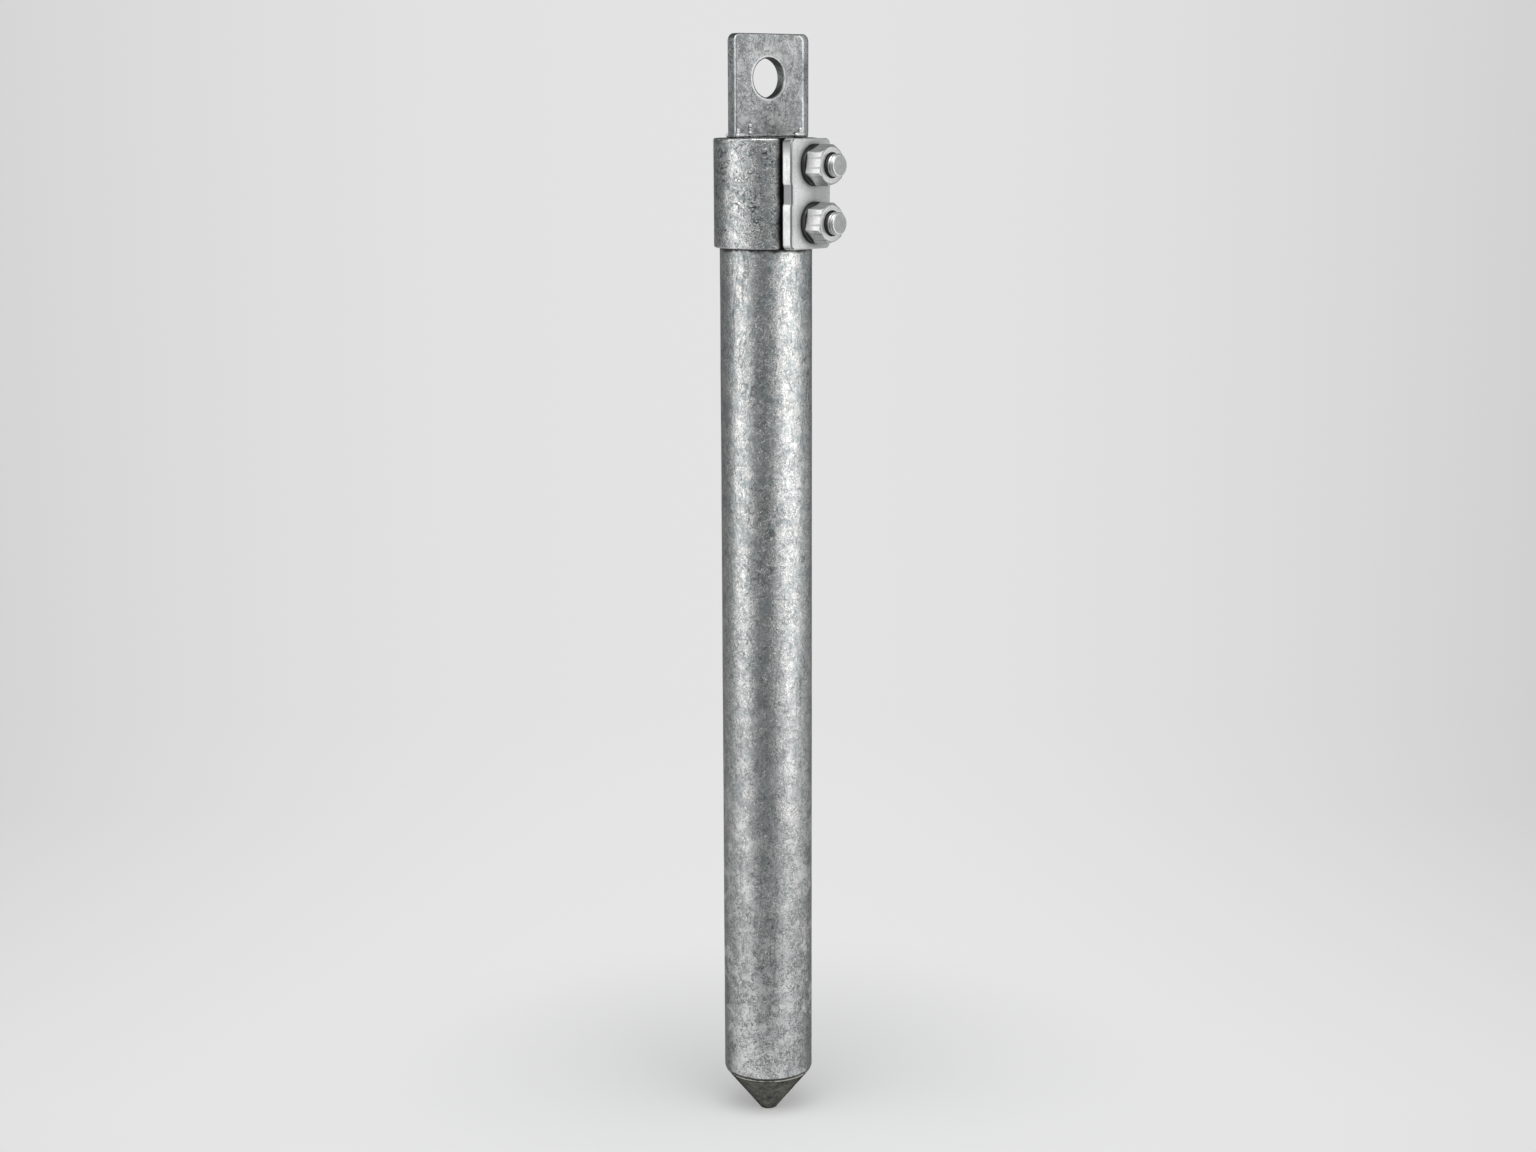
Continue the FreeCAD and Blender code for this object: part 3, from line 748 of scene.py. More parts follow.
# %% Driving point
TIP_RADIUS = 4.6 * MM
LAND_RADIUS = 24.3 * MM
LAND_BOTTOM = SEAM_HEIGHT - 1.0 * MM
GROOVE_DEPTH = 0.55 * MM
POINT_EDGE = 1.4 * MM
SPIGOT_RADIUS = 20.9 * MM
SPIGOT_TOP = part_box("driving_point")[1].z
POINT_RING_GAP = 1.0 * MM
tip_section = round_corners([
    (0, 0),
    (TIP_RADIUS, 0),
    (LAND_RADIUS - GROOVE_DEPTH, LAND_BOTTOM - GROOVE_DEPTH),
], POINT_EDGE, steps=6, closed=False)
point_section = tip_section + [Vector(point) for point in (
    (LAND_RADIUS - 0.15 * MM, LAND_BOTTOM - 0.1 * MM),
    (LAND_RADIUS + 0.1 * MM, LAND_BOTTOM + 0.25 * MM),
    (LAND_RADIUS - 0.1 * MM, LAND_BOTTOM + 0.55 * MM),
    (LAND_RADIUS - GROOVE_DEPTH, LAND_BOTTOM + 0.7 * MM),
    (LAND_RADIUS - GROOVE_DEPTH, SEAM_HEIGHT),
    (SPIGOT_RADIUS, SEAM_HEIGHT),
    (SPIGOT_RADIUS, SPIGOT_TOP),
    (0, SPIGOT_TOP),
)]
point_section = split_sides(point_section, POINT_RING_GAP,
                            lambda start, end: max(start.y, end.y) < LAND_BOTTOM, closed=False)
point_values = {"Skin Radius": MM, "Wave Depth": 0.3 * MM, "Wave Scale": 90.0, "Lump Depth": 0.1 * MM,
                "Seed": 9.0}
point_skin = make_skin("point_skin", point_section, point_steel, point_values, sides=128, closed=False)
hand_over(point_skin, "dark_point_steel", "driving_point")

# %% [markdown]
# ## Flat pieces
# The lug and the clamp plate are cut from flat bar, and dipping has rounded their edges. A Bevel modifier
# on the solids would trip over their rough triangles, so each is built from loops: the outline is drawn
# at several insets and heights, which makes the rounded edge, and the faces between the outline and the
# holes are filled. Every inset of an outline has the same number of points, so that loops join up. A
# Delaunay triangulation over an even grid fills the faces, because long thin triangles would show.

# %% Outlines of flat pieces
EDGE_STEPS = 4
FLAT_RING = 0.15 * MM
CORNER_STEPS = 8
SIDE_PARTS = 24


def box_outline(left, right, low, high, radii, inset=0.0):
    """Rounded rectangle, anticlockwise; radii are for low right, high right, high left and low left."""
    corners = ((right, low, -90), (right, high, 0), (left, high, 90), (left, low, 180))
    arcs = []
    for (x, y, start), radius in zip(corners, radii):
        reach = max(radius, inset + 0.01 * MM)
        middle_x = x - reach if x == right else x + reach
        middle_y = y - reach if y == high else y + reach
        turn = [math.radians(start + 90 * step / CORNER_STEPS) for step in range(CORNER_STEPS + 1)]
        arcs.append([Vector((middle_x + (reach - inset) * math.cos(angle),
                             middle_y + (reach - inset) * math.sin(angle))) for angle in turn])
    points = []
    for arc, following in zip(arcs, arcs[1:] + arcs[:1]):
        points += arc
        points += [arc[-1].lerp(following[0], part / SIDE_PARTS) for part in range(1, SIDE_PARTS)]
    return points


def ring_outline(height, radius, inset=0.0, sides=64):
    """Round hole on the middle line, drawn wider by an inset."""
    reach = radius + inset
    return [Vector((reach * x, height + reach * y)) for x, y in circle(sides)]


def edge_profile(thickness, edge):
    """Insets and heights that round both edges of a plate, from its back face to its front face."""
    turns = [math.pi / 2 * step / EDGE_STEPS for step in range(EDGE_STEPS + 1)]
    back = [(edge + FLAT_RING, 0.0)]
    back += [(edge * (1 - math.sin(turn)), edge * (1 - math.cos(turn))) for turn in turns]
    back += [(0.0, edge + FLAT_RING)]
    return back + [(inset, thickness - height) for inset, height in reversed(back)]


def ridge_profile(edge, ridge):
    """Inset, drop and rubbing of the loops over a low ridge of zinc inside an edge, down to the face."""
    return [(edge + 0.35 * MM, 0.0, 1.0), (edge + 0.85 * MM, 0.0, 1.0), (edge + 1.10 * MM, 0.8 * ridge, 0.5),
            (edge + 1.40 * MM, ridge, 0.0), (edge + 1.65 * MM, ridge, 0.0)]


print("outlines are ready, with", 4 * (CORNER_STEPS + SIDE_PARTS), "points each")

# %% Faces of flat pieces
FILL_GAP = 2.5 * MM
STRIP_SOFTNESS = 0.1 * MM


def lies_inside(point, outline):
    """True where a point lies inside a closed outline."""
    inside = False
    for near, far in zip(outline, outline[1:] + outline[:1]):
        if (near.y > point.y) != (far.y > point.y):
            crossing = near.x + (far.x - near.x) * (point.y - near.y) / (far.y - near.y)
            inside ^= point.x < crossing
    return inside


def inner_points(outlines):
    """Even grid of points on the face, clear of its outlines."""
    low = Vector([min(point[axis] for point in outlines[0]) for axis in (0, 1)])
    high = Vector([max(point[axis] for point in outlines[0]) for axis in (0, 1)])
    points = []
    for column in range(1, int((high.x - low.x) / FILL_GAP)):
        for row in range(1, int((high.y - low.y) / FILL_GAP)):
            point = low + Vector((column, row)) * FILL_GAP
            in_hole = any(lies_inside(point, hole) for hole in outlines[1:])
            clear = all((point - other).length > FILL_GAP / 2 for outline in outlines for other in outline)
            if clear and lies_inside(point, outlines[0]) and not in_hole:
                points.append(point)
    return points


def fill_face(bm, loops):
    """Fill the flat face between an outer loop and the holes in it with even triangles."""
    outlines = [[vert.co.xy for vert in loop] for loop in loops]
    verts = [vert for loop in loops for vert in loop]
    extra = inner_points(outlines)
    verts += add_loop(bm, extra, verts[0].co.z)
    edges = []
    for outline in outlines:
        start = len(edges)
        edges += [(start + index, start + (index + 1) % len(outline)) for index in range(len(outline))]
    points = [point for outline in outlines for point in outline] + extra
    _, _, triangles, sources, _, _ = delaunay_2d_cdt(points, edges, [], 1, 0.0001 * MM)
    for triangle in triangles:
        corners = [sources[corner][0] for corner in triangle]
        middle = sum((points[corner] for corner in corners), Vector((0, 0))) / 3
        if not any(lies_inside(middle, hole) for hole in outlines[1:]):
            bm.faces.new([verts[corner] for corner in corners])


def build_plate(outline, holes, thickness, edge, ridge, face=None, fall=None, edge_share=lambda point: 0.0,
                crease_rubs=lambda point: 1.0):
    """Plate with rounded edges; a face outline of its own leaves a strip that fall lowers outside it.

    The mesh marks the points on the strip, those on its crease, and those of a front edge with a share from a
    given function: the lug's finish rubs these edges bright, and the plate's finish lays a painted shade line
    on them.
    """
    bm = bmesh.new()
    rubbed_or_shaded = bm.verts.layers.float.new("rubbed_or_shaded")
    strip = bm.verts.layers.float.new("strip")
    back_loops = []
    front_loops = []
    for shape in [outline] + holes:
        is_outer = shape is outline
        inner = face if face and is_outer else shape
        loops = []
        for inset, height in edge_profile(thickness, edge):
            in_front = height > thickness / 2
            points = shape(inset)
            drops = [fall(point) if fall and is_outer and in_front else 0.0 for point in points]
            loop = add_loop(bm, points, [height - drop for drop in drops])
            for vert, drop in zip(loop, drops):
                vert[rubbed_or_shaded] = edge_share(vert.co) * float(inset > 0.2 * edge and in_front)
                vert[strip] = min(1.0, drop / STRIP_SOFTNESS)
            loops.append(loop)
        on_strip = [min(1.0, drop / STRIP_SOFTNESS) for drop in drops]
        loop = add_loop(bm, inner(edge + 0.25 * MM), [thickness - min(ridge, drop) for drop in drops])
        for vert, share in zip(loop, on_strip):
            vert[strip] = share
            vert[rubbed_or_shaded] = max(share * crease_rubs(vert.co), 0.5 * edge_share(vert.co))
        loops.append(loop)
        for inset, lower, rubbing in ridge_profile(edge, ridge):
            loop = add_loop(bm, inner(inset), thickness - lower)
            for vert, share in zip(loop, on_strip):
                vert[rubbed_or_shaded] = rubbing * (share * crease_rubs(vert.co) if is_outer else edge_share(vert.co))
            loops.append(loop)
        join_loops(bm, loops)
        back_loops.append(loops[0])
        front_loops.append(loops[-1])
    fill_face(bm, back_loops)
    fill_face(bm, front_loops)
    loose = len([edge for edge in bm.edges if len(edge.link_faces) != 2])
    print(f"plate with {len(bm.faces)} faces, {loose} open edges")
    return bm


print("faces are filled with triangles of about", FILL_GAP / MM, "mm")

# %% [markdown]
# ## Lug
# A flat tongue with one round hole for the lead's lug. Its front is flat up to its left edge, and has a
# strip down the right side that falls back. On the crease between them, and on the left edge, the zinc has
# built up a little and is rubbed bright. A narrower foot goes down into the pipe.

# %% Lug
LUG_THICKNESS = 6.0 * MM
LUG_EDGE = 0.5 * MM
LUG_CORNER = 4.0 * MM
FACE_LEFT = -21.9 * MM
FACE_RIGHT = 23.4 * MM
FACE_CORNER = 4.5 * MM
RIDGE_MIDDLE = 0.55 * MM
STRIP_FALL = 1.0 * MM
RIDGE_HEIGHT = 0.15 * MM
FOOT_HALF_WIDTH = 20.5 * MM
FOOT_THICKNESS = LUG_THICKNESS - 0.4 * MM
SHOULDER_CORNER = 0.6 * MM
HOLE_MIDDLE = LUG_HOLE_HEIGHT - PIPE_TOP
lug_top = lug_high.z - PIPE_TOP


def lug_outline(inset):
    """Outer outline of the tongue above the pipe's rim."""
    radii = (SHOULDER_CORNER, LUG_CORNER, LUG_CORNER, SHOULDER_CORNER)
    return box_outline(lug_low.x, lug_high.x, 0.0, lug_top, radii, inset)


def face_outline(inset):
    """Outline of the flat part of the front."""
    radii = (FACE_CORNER, FACE_CORNER, LUG_CORNER, SHOULDER_CORNER)
    beyond = LUG_EDGE + RIDGE_MIDDLE
    return box_outline(FACE_LEFT - beyond, FACE_RIGHT + beyond, 0.0, lug_top, radii, inset)


def foot_outline(inset):
    """Outline of the foot in the pipe's bore."""
    return box_outline(-FOOT_HALF_WIDTH, FOOT_HALF_WIDTH, lug_low.z - PIPE_TOP, 2.0 * MM, (MM,) * 4, inset)


def lug_hole(inset):
    """Hole for the lead's lug."""
    return ring_outline(HOLE_MIDDLE, LUG_HOLE_RADIUS, inset)


crease_points = face_outline(LUG_EDGE + 0.25 * MM)


def strip_fall(point):
    """How far the front lies back at a point outside the flat face."""
    reach = min((point - crease).length for crease in crease_points)
    return STRIP_FALL * max(0.0, reach - LUG_EDGE) / (lug_high.x - FACE_RIGHT - LUG_EDGE - RIDGE_MIDDLE)


def lug_rubbing(point):
    """Share of bright metal on the lug's front edges, which is most round the hole and on the left."""
    from_hole = (point.xy - Vector((0.0, HOLE_MIDDLE))).length
    return 0.8 if from_hole < LUG_HOLE_RADIUS + 2 * MM or point.x < FACE_LEFT else 0.1


def crease_rubbing(point):
    """Share of bright metal along the crease, which is least at the height of the hole."""
    return min(1.0, max(0.25, (abs(point.y - HOLE_MIDDLE) - 5.0 * MM) / (8.0 * MM)))


lug_bm = build_plate(lug_outline, [lug_hole], LUG_THICKNESS, LUG_EDGE, RIDGE_HEIGHT, face_outline, strip_fall,
                     lug_rubbing, crease_rubbing)
lug_mesh = close_mesh("lug_skin", lug_bm, front_place(-LUG_THICKNESS / 2, PIPE_TOP, 0.0))
foot_bm = build_plate(foot_outline, [], FOOT_THICKNESS, LUG_EDGE, 0.0)
foot_mesh = close_mesh("lug_foot", foot_bm, front_place(-FOOT_THICKNESS / 2, PIPE_TOP, 0.0))
hand_over(link_piece("lug_skin", lug_mesh, lug_zinc, smooth_angle=30), "galvanised_lug", "lug")
hand_over(link_piece("lug_foot", foot_mesh, lug_zinc), "galvanised_lug", "lug")

# %% [markdown]
# ## Welds
# Short beads hold the lug's shoulders to the rim, and three thin runs climb its front. A weld bead is a
# row of frozen ripples, so a Geometry Nodes tree lays balls in a row, each sized a little by a seeded
# chance, and the welder's hand shows. The balls overlap into one lumpy bead.


# %% Geometry group: weld bead
def make_bead_group():
    """Row of overlapping ripples along X, centred on the origin."""
    tree, given, result = new_group("weld_bead", "GeometryNodeTree", [
        ("Length", "Float", 6.5 * MM),
        ("Ripples", "Int", 6),
        ("Radius", "Float", 1.4 * MM),
        ("Unevenness", "Float", 0.18),
        ("Seed", "Int", 1),
        ("Material", "Material", None),
    ], [("Geometry", "Geometry")])
    half = given["Length"] * 0.5 - given["Radius"]
    step = half * 2.0 / (given["Ripples"] - 1.0)
    row = add_value(tree, "GeometryNodeMeshLine", {
        "Count": given["Ripples"], "Start Location": combine(half * -1.0), "Offset": combine(step)})
    ball = add_value(tree, "GeometryNodeMeshIcoSphere", {"Radius": given["Radius"], "Subdivisions": 4})
    # A Random Value node takes the limits of a plain number at 2 and 3, and gives the number at 1
    limits = {2: 1.0 - given["Unevenness"], 3: 1.0, "Seed": given["Seed"]}
    size = add_value(tree, "FunctionNodeRandomValue", limits, 1, data_type="FLOAT")
    placed = add_value(tree, "GeometryNodeInstanceOnPoints", {"Points": row, "Instance": ball, "Scale": size})
    return end_group(placed, given, result)


def grow(name, tree, values):
    """Run a geometry tree that needs no start, and give its mesh."""
    start = bpy.data.objects.new(name, bpy.data.meshes.new(name))
    scene.collection.objects.link(start)
    run_tree(start, tree, values)
    mesh = start.data
    bpy.data.objects.remove(start)
    return mesh


bead_group = make_bead_group()
print("weld bead:", len(bead_group.nodes), "nodes")

# %% Welds at the lug's shoulders
WELD_LEG = 3.0 * MM
WELD_LENGTH = 6.5 * MM
WELD_ENDS = (-23.0 * MM, 23.0 * MM)
# Height in millimetres of each run, by its place across the lug
RUN_HEIGHTS = {-20.6: 5.2, -12.6: 7.5, 21.3: 5.6}
RUN_RADIUS = 1.1 * MM
UPRIGHT = Matrix.Rotation(math.pi / 2, 4, "Y")
weld_bm = bmesh.new()


def add_bead(place, values):
    """Add a bead at a place to the welds."""
    bead = grow("weld_bead", bead_group, {**values, "Material": weld_zinc.material})
    bead.transform(place)
    weld_bm.from_mesh(bead)


for number, (end, side) in enumerate((end, side) for end in WELD_ENDS for side in (-1, 1)):
    middle = Vector((end - math.copysign(WELD_LENGTH / 2, end), side * (LUG_THICKNESS / 2 + WELD_LEG * 0.42),
                     PIPE_TOP + WELD_LEG * 0.42))
    add_bead(Matrix.Translation(middle),
             {"Length": WELD_LENGTH, "Radius": WELD_LEG * 0.46, "Seed": number + 3})
for number, (across, tall) in enumerate(RUN_HEIGHTS.items()):
    middle = Vector((across * MM, -LUG_THICKNESS / 2, PIPE_TOP + tall * MM / 2))
    add_bead(Matrix.Translation(middle) @ UPRIGHT, {"Length": tall * MM, "Radius": RUN_RADIUS, "Ripples": 9,
                                                    "Unevenness": 0.4, "Seed": number + 20})
hand_over(link_piece("weld_beads", plain_mesh("weld_beads", weld_bm), weld_zinc), "weld_metal", "lug_welds")

# %% [markdown]
# ## Clamp plate
# A thick plate against the collar, with a shallow relief in its left edge and two stud holes.

# %% Clamp plate
PLATE_LEFT = -18.8 * MM
PLATE_RIGHT = 13.2 * MM
PLATE_THICKNESS = 6.0 * MM
PLATE_CORNER = 3.0 * MM
PLATE_EDGE = 0.8 * MM
PLATE_RIDGE = 0.06 * MM
PLATE_HALF_HEIGHT = (plate_high.z - plate_low.z) / 2
RELIEF_HALF_HEIGHT = 5.0 * MM
RELIEF_DEPTH = 0.8 * MM
STUD_HOLE_RADIUS = 6.75 * MM


def plate_outline(inset):
    """Outline of the plate with its relief."""
    points = box_outline(PLATE_LEFT, PLATE_RIGHT, -PLATE_HALF_HEIGHT, PLATE_HALF_HEIGHT, (PLATE_CORNER,) * 4,
                         inset)
    for point in points:
        if point.x < PLATE_LEFT + PLATE_CORNER and abs(point.y) < RELIEF_HALF_HEIGHT:
            point.x += RELIEF_DEPTH
    return points


def plate_hole(height):
    """Outline of the hole for one stud."""
    return lambda inset: ring_outline(height - PLATE_MIDDLE, STUD_HOLE_RADIUS, inset, sides=48)


def plate_edge_shade(point):
    """Share of a painted shade line on the plate's front edges, full down the left edge and faint elsewhere.
    """
    return 1.0 if point.x < PLATE_LEFT + PLATE_CORNER else 0.1


plate_bm = build_plate(plate_outline, [plate_hole(height) for height in STUD_HEIGHTS.values()],
                       PLATE_THICKNESS, PLATE_EDGE, PLATE_RIDGE, edge_share=plate_edge_shade)
plate_mesh = close_mesh("plate_skin", plate_bm, front_place(COLLAR_RADIUS, PLATE_MIDDLE, CLAMP_TURN))
plate_skin = link_piece("plate_skin", plate_mesh, plate_zinc, smooth_angle=30)
hand_over(plate_skin, "galvanised_plate", "clamp_plate")

# %% [markdown]
# ## Studs, washers and nuts
# Two studs come out of the pipe through the plate, each with a washer and a nut. The thread follows a
# rule, a radius that depends on the angle and the height together, so a Geometry Nodes tree makes it
# from a grid: one side of the grid becomes the angle, the other runs along the stud and then in over its
# chamfered end to the middle.


# %% Geometry group: threaded stud
def make_stud_group():
    """Stud along Z with a real thread, a chamfer and closed ends."""
    tree, given, result = new_group("threaded_stud", "GeometryNodeTree", [
        ("Length", "Float", 31.5 * MM),
        ("Radius", "Float", 6.0 * MM),
        ("Pitch", "Float", 1.75 * MM),
        ("Thread Depth", "Float", 0.7 * MM),
        ("Chamfer", "Float", 0.7 * MM),
        ("Sides", "Int", 49),
        ("Rows", "Int", 175),
        ("Material", "Material", None),
    ], [("Geometry", "Geometry")])
    radius = given["Radius"]
    length = given["Length"]
    path = radius * 2.0 + length
    grid = add_value(tree, "GeometryNodeMeshGrid", {
        "Size X": 1.0, "Size Y": path, "Vertices X": given["Sides"], "Vertices Y": given["Rows"]})
    place = add_value(tree, "GeometryNodeInputPosition")
    turns = axis(place, "X") + 0.5
    along = path * 0.5 + axis(place, "Y") - radius
    height = (along | 0.0) & length
    inward = ((along - length | 0.0) + (along * -1.0 | 0.0)) / radius
    swing = reckon("PINGPONG", height / given["Pitch"] + turns, 0.5)
    thread = radius - swing.spread(0.08, 0.42) * given["Thread Depth"]
    from_end = height & length - height
    distance = (thread & radius - given["Chamfer"] + from_end) * (1.0 - inward)
    angle = turns * (2 * math.pi)
    target = combine(distance * reckon("COSINE", angle), distance * reckon("SINE", angle), height)
    rolled = add_value(tree, "GeometryNodeSetPosition", {"Geometry": grid, "Position": target})
    closed = add_value(tree, "GeometryNodeMergeByDistance", {"Geometry": rolled, "Distance": 0.002 * MM})
    return end_group(closed, given, result)


stud_group = make_stud_group()
print("threaded stud:", len(stud_group.nodes), "nodes")

# %% Studs
STUD_RADIUS = 6.0 * MM
STUD_START = 19.5 * MM
STUD_END = 51.76 * MM
stud_values = {"Length": STUD_END - STUD_START, "Radius": STUD_RADIUS, "Material": stud_zinc.material}
for which, height in STUD_HEIGHTS.items():
    name = f"stud_{which}_thread"
    stud_bm = bmesh.new()
    stud_bm.from_mesh(grow(name, stud_group, stud_values))
    stud_mesh = close_mesh(name, stud_bm, front_place(STUD_START, height, CLAMP_TURN))
    hand_over(link_piece(name, stud_mesh, stud_zinc), "zinc_fastener", f"stud_{which}")

# %% [markdown]
# A hexagon nut is a six-sided bar whose outer face was turned to a cone, so that the corners are cut in
# curves. Every loop follows the same rounded hexagon: on the cone, a point that is further out lies
# lower. The face ends in a countersink around the thread.

# %% Nuts and washers
NUT_ACROSS_FLATS = 19.0 * MM
NUT_HEIGHT = 10.0 * MM
NUT_FACE_RADIUS = 9.4 * MM
NUT_SLOPE = math.tan(math.radians(30))
NUT_CORNER = 0.5 * MM
NUT_BORE = 5.9 * MM
COUNTERSINK = 0.8 * MM
NUT_BACK_BEVEL = 0.25 * MM
NUT_TURNS = {"upper": 8.5, "lower": 11.5}
# Radius, height and painted shade of the loops from the edge of the turned face in to the bore
NUT_TURNED_FACE = (
    (NUT_FACE_RADIUS + 0.45 * MM, NUT_HEIGHT - 0.26 * MM, 0.6),
    (NUT_FACE_RADIUS + 0.08 * MM, NUT_HEIGHT - 0.06 * MM, 0.6),
    (NUT_FACE_RADIUS - 0.08 * MM, NUT_HEIGHT - 0.01 * MM, 0.0),
    (NUT_FACE_RADIUS - 0.20 * MM, NUT_HEIGHT, 0.0),
    (NUT_BORE + COUNTERSINK + 0.15 * MM, NUT_HEIGHT, 0.0),
    (NUT_BORE + COUNTERSINK, NUT_HEIGHT - 0.05 * MM, 1.0),
    (NUT_BORE, NUT_HEIGHT - COUNTERSINK, 1.0),
    (NUT_BORE, 0.0, 1.0),
)
WASHER_RADIUS = 11.0 * MM
WASHER_BORE = 6.5 * MM
WASHER_THICKNESS = 2.5 * MM
WASHER_EDGE = 0.5 * MM
WASHER_SIDES = 96
WASHER_FACE = COLLAR_RADIUS + PLATE_THICKNESS
FLAT_PARTS = 12


def nut_outline(turn):
    """Hexagon with rounded corners, turned clockwise from the top by an angle in degrees."""
    reach = NUT_ACROSS_FLATS / 2 / math.cos(math.pi / 6)
    angles = [math.radians(turn + 60 * corner) for corner in range(6)]
    corners = [Vector((reach * math.sin(angle), reach * math.cos(angle))) for angle in angles]
    return split_sides(round_corners(corners, NUT_CORNER), NUT_ACROSS_FLATS / math.sqrt(3) / FLAT_PARTS)


def build_nut(turn):
    """Nut along Z, from its flat back to its coned face, with a painted shade mark on the edge of the turned
    face and round the bore.
    """
    outline = nut_outline(turn)
    bm = bmesh.new()
    painted_shade_share = bm.verts.layers.float.new("painted_shade_share")
    back = [point * (1 - NUT_BACK_BEVEL / point.length) for point in outline]
    cone = [NUT_HEIGHT - (point.length - NUT_FACE_RADIUS) * NUT_SLOPE for point in outline]
    loops = [add_loop(bm, back, 0.0), add_loop(bm, outline, NUT_BACK_BEVEL), add_loop(bm, outline, cone)]
    for radius, height, painted_shade in NUT_TURNED_FACE:
        loop = add_loop(bm, [point.normalized() * radius for point in outline], height)
        for vert in loop:
            vert[painted_shade_share] = painted_shade
        loops.append(loop)
    join_loops(bm, loops + loops[:1])
    return bm


washer_section = round_corners([
    (WASHER_BORE, 0),
    (WASHER_RADIUS, 0),
    (WASHER_RADIUS, WASHER_THICKNESS),
    (WASHER_BORE, WASHER_THICKNESS),
], WASHER_EDGE)
for which, height in STUD_HEIGHTS.items():
    nut_place = front_place(WASHER_FACE + WASHER_THICKNESS, height, CLAMP_TURN)
    nut_mesh = close_mesh(f"nut_{which}_hex", build_nut(NUT_TURNS[which]), nut_place)
    nut = link_piece(f"nut_{which}_hex", nut_mesh, nut_zinc, smooth_angle=6)
    hand_over(nut, "zinc_fastener", f"nut_{which}")
    washer_mesh = turn_on_lathe(f"washer_{which}_ring", washer_section, WASHER_SIDES,
                                place=front_place(WASHER_FACE, height, CLAMP_TURN))
    washer = link_piece(f"washer_{which}_ring", washer_mesh, shaded_washer_zinc)
    hand_over(washer, "zinc_fastener", f"washer_{which}")

# %% [markdown]
# ## Camera
# The picture is taken from the height of the lug, looking down a little, with a lens of about 56 mm. The
# camera stands on the side where the lug shows its left edge. Its place is given as a turn about the rod,
# a distance and a height, because those are what a photographer would set.

# %% Camera
CAMERA_TURN = math.radians(-38)
CAMERA_DISTANCE = 1.2862
CAMERA_HEIGHT = 0.5629
CAMERA_PITCH = math.radians(11.063)
CAMERA_ROLL = math.radians(-0.172)
CAMERA_LENS = 55.64
SENSOR_WIDTH = 36.0
PICTURE_WIDTH = 1536
ROD_COLUMN = 766.92
lens_pixels = CAMERA_LENS / SENSOR_WIDTH * PICTURE_WIDTH
camera_yaw = math.atan((ROD_COLUMN - PICTURE_WIDTH / 2) / lens_pixels)
camera_data = bpy.data.cameras.new("camera")
camera_data.lens = CAMERA_LENS
camera_data.sensor_width = SENSOR_WIDTH
camera_data.sensor_fit = "HORIZONTAL"
camera = bpy.data.objects.new("camera", camera_data)
camera.matrix_world = (Matrix.Rotation(CAMERA_TURN, 4, "Z")
                       @ Matrix.Translation((0, -CAMERA_DISTANCE, CAMERA_HEIGHT))
                       @ Matrix.Rotation(camera_yaw, 4, "Z")
                       @ Matrix.Rotation(math.pi / 2 - CAMERA_PITCH, 4, "X")
                       @ Matrix.Rotation(CAMERA_ROLL, 4, "Z"))
scene.collection.objects.link(camera)
scene.camera = camera
print("camera at", [round(value, 3) for value in camera.matrix_world.translation])

# %% [markdown]
# ## Studio
# A pale sheet lies under the rod and curves up behind it, as in a small photo studio. Round metal shows
# what stands beside it, so the two bright bands on the pipe are two tall soft boxes, and the dark band
# between them is the unlit room behind the camera. A light above keeps the sheet pale and leaves a soft
# shadow under the tip. What the camera sees of the paper glows a little, so that it is as even as the
# photograph's, and near the tip it doesn't, so the shadow stays.

# %% Studio sheet
SHEET_BEND_START = 0.9
SHEET_BEND_RADIUS = 0.75
SHEET_BEND_STEPS = 32
SHEET_TOP = 0.95
SHEET_HALF_WIDTH = 5.0
SHADOW_NEAR = 0.04
SHADOW_FAR = 0.30


def make_sheet():
    """Floor that curves up into a wall, square to the camera."""
    profile = [(-SHEET_HALF_WIDTH, 0.0)]
    for step in range(SHEET_BEND_STEPS + 1):
        angle = math.pi / 2 * step / SHEET_BEND_STEPS
        profile.append((SHEET_BEND_START + SHEET_BEND_RADIUS * math.sin(angle),
                        SHEET_BEND_RADIUS * (1 - math.cos(angle))))
    profile.append((SHEET_BEND_START + SHEET_BEND_RADIUS, SHEET_TOP))
    bm = bmesh.new()
    rows = [[bm.verts.new((side * SHEET_HALF_WIDTH, depth, height)) for side in (-1, 1)]
            for depth, height in profile]
    for near, far in zip(rows, rows[1:]):
        bm.faces.new((near[0], near[1], far[1], far[0]))
    bmesh.ops.transform(bm, matrix=Matrix.Rotation(CAMERA_TURN, 4, "Z"), verts=bm.verts)
    return plain_mesh("studio_sheet", bm)


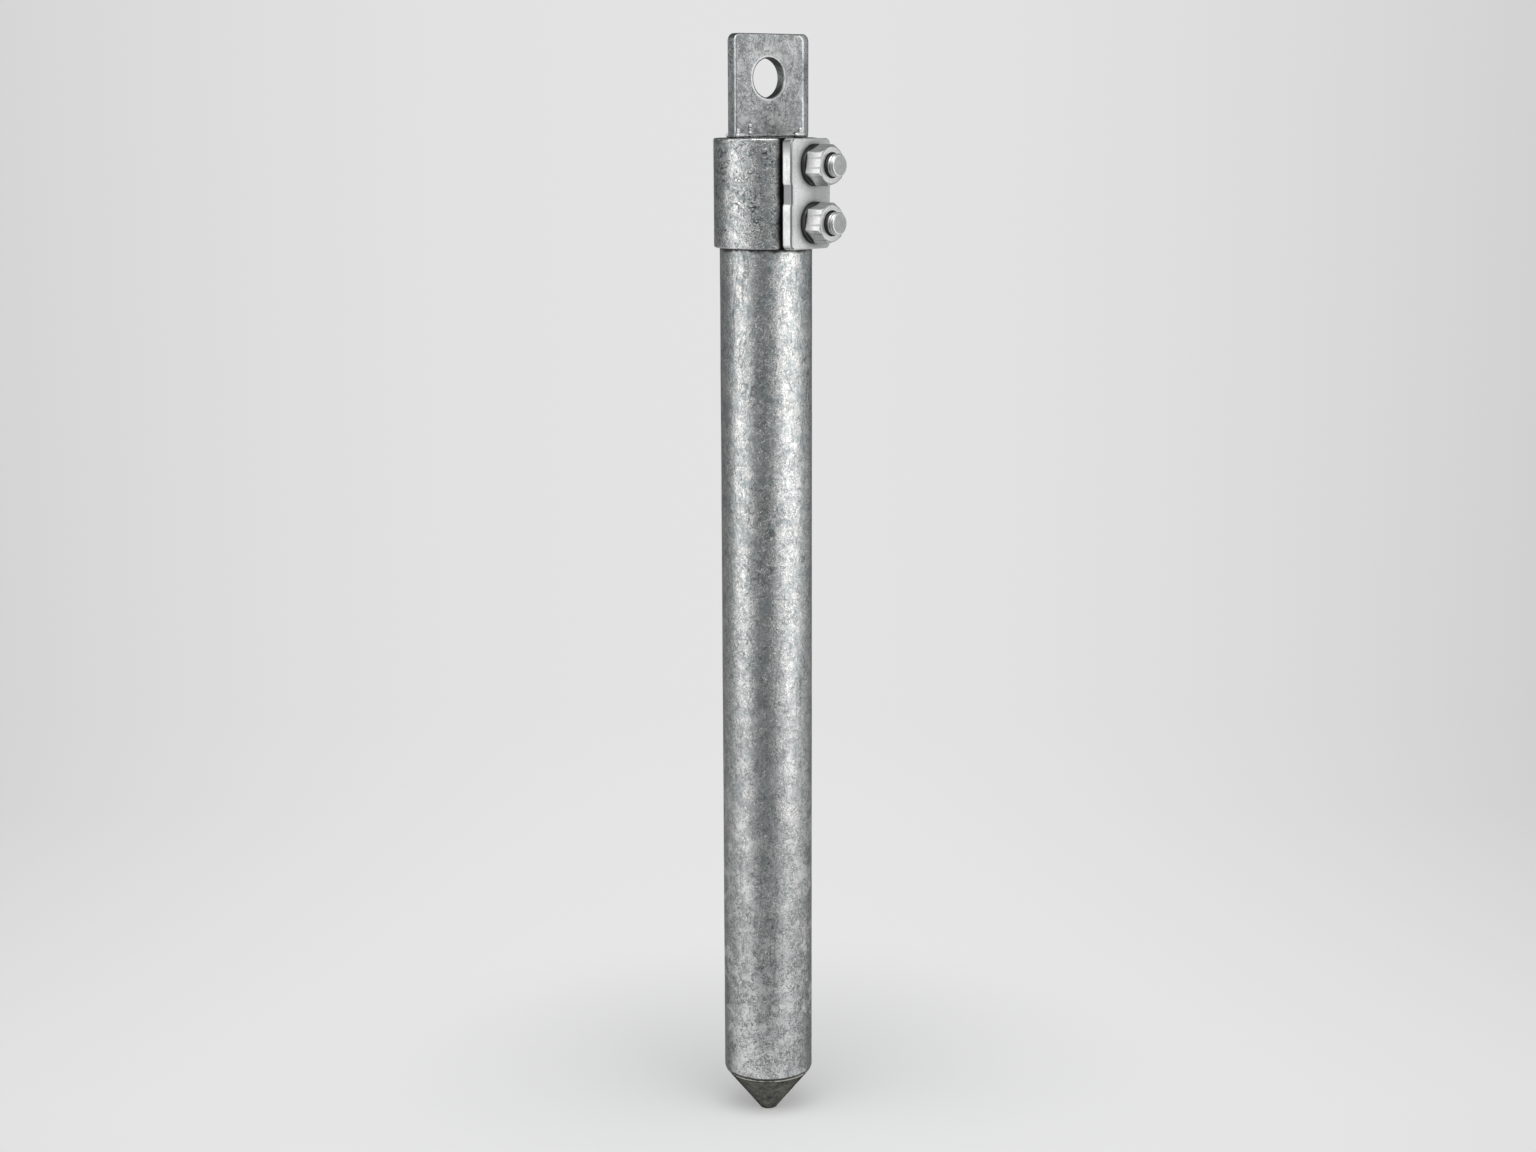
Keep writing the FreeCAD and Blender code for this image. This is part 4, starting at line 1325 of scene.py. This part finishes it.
def paint_sheet():
    """Paper that is pale under and behind the rod and fades to grey beside and in front of it, the grey being
    painted shade of the unlit room.
    """
    finish = Finish("graded_paper")
    tree = finish.tree
    turned = add_value(tree, "ShaderNodeMapping", {"Vector": finish.place, "Rotation": (0, 0, -CAMERA_TURN)})
    side = axis(turned, "X")
    behind = axis(turned, "Y")
    beside = abs(side) - ((behind | 0.0) * 0.36 + 0.6)
    in_front = abs(side) * 0.8 + behind
    # Painted shade: beside and in front of the rod the paper is grey, for the unlit room
    pale = beside.spread(0.0, 0.4, 1.0, 0.0, smooth=True) * in_front.spread(-0.22, -0.05, smooth=True)
    finish.feed({"Base Color": blend(pale, grey(0.16), grey(0.82)), "Roughness": 0.9,
                 "Specular IOR Level": 0.1})
    rays = add_node(tree, "ShaderNodeLightPath").outputs
    seen = Value(rays["Is Camera Ray"]) | Value(rays["Is Glossy Ray"]) | Value(rays["Is Transmission Ray"])
    off_tip = length(combine(side, behind)).spread(SHADOW_NEAR, SHADOW_FAR, 0.32, 1.0, smooth=True)
    # Painted light: the glow that the camera and reflections see falls off towards the sides and far away,
    # more beyond the left
    slant = side / (behind + CAMERA_DISTANCE)
    beyond_left = slant.spread(-0.54, -0.38, 0.32, 0.0)
    slope = reckon("POWER", abs(slant + 0.018), 2.0)
    painted_falloff = reckon("SUBTRACT", 1.0, slope * behind.spread(0.0, 0.6, 0.4, 1.45) + beyond_left, clamp=True)
    painted_falloff = painted_falloff * behind.spread(0.1, 0.9, 0.80, 0.77)
    glow = blend(pale, (0.225, 0.235, 0.24, 1), blend(1.0, grey(1), painted_falloff, "MULTIPLY"))
    light = add_node(tree, "ShaderNodeEmission", {"Color": glow, "Strength": 1.0})
    shaders = {1: Value(finish.shader.outputs[0]), 2: Value(light.outputs[0])}
    mixed = add_value(tree, "ShaderNodeMixShader", {0: seen * off_tip, **shaders})
    fill(finish.surface, {"Surface": mixed})
    return finish


studio_sheet = link_piece("studio_sheet", make_sheet(), paint_sheet())
print("studio sheet:", len(studio_sheet.data.polygons), "faces")


# %% Lights
def add_soft_box(name, turn, distance, height, width, tall, power, aim=0.5, spread_angle=180):
    """Soft box at a turn from the camera's side, aimed at a height on the rod."""
    light = bpy.data.lights.new(name, "AREA")
    light.shape = "RECTANGLE"
    light.size = width
    light.size_y = tall
    light.energy = power
    light.spread = math.radians(spread_angle)
    lamp = bpy.data.objects.new(name, light)
    angle = CAMERA_TURN + math.radians(turn)
    place = Vector((math.sin(angle) * distance, -math.cos(angle) * distance, height))
    facing = (Vector((0, 0, aim)) - place).to_track_quat("-Z", "Y").to_matrix().to_4x4()
    lamp.matrix_world = Matrix.Translation(place) @ facing
    lamp.visible_camera = False
    scene.collection.objects.link(lamp)


add_soft_box("left_box", -65, 0.66, 0.50, 0.60, 0.95, 1.6)
add_soft_box("left_core", -64, 0.64, 0.50, 0.26, 0.90, 0.4)
add_soft_box("right_box", 60, 0.66, 0.50, 0.90, 0.95, 2.6)
add_soft_box("right_core", 60, 0.64, 0.50, 0.30, 0.90, 0.5)
add_soft_box("right_back", 115, 0.70, 0.50, 0.60, 0.95, 0.34)
add_soft_box("high_left", -90, 0.66, 0.70, 0.30, 0.25, 0.12)
add_soft_box("top_box", 0, 0.80, 1.45, 1.5, 1.0, 7.5, aim=0.0, spread_angle=120)

world = bpy.data.worlds.new("studio_world")
scene.world = world
world.use_nodes = True
fill(world.node_tree.nodes["Background"], {"Color": (0.93, 0.97, 1, 1), "Strength": 0.175})
scene.view_settings.view_transform = "Standard"
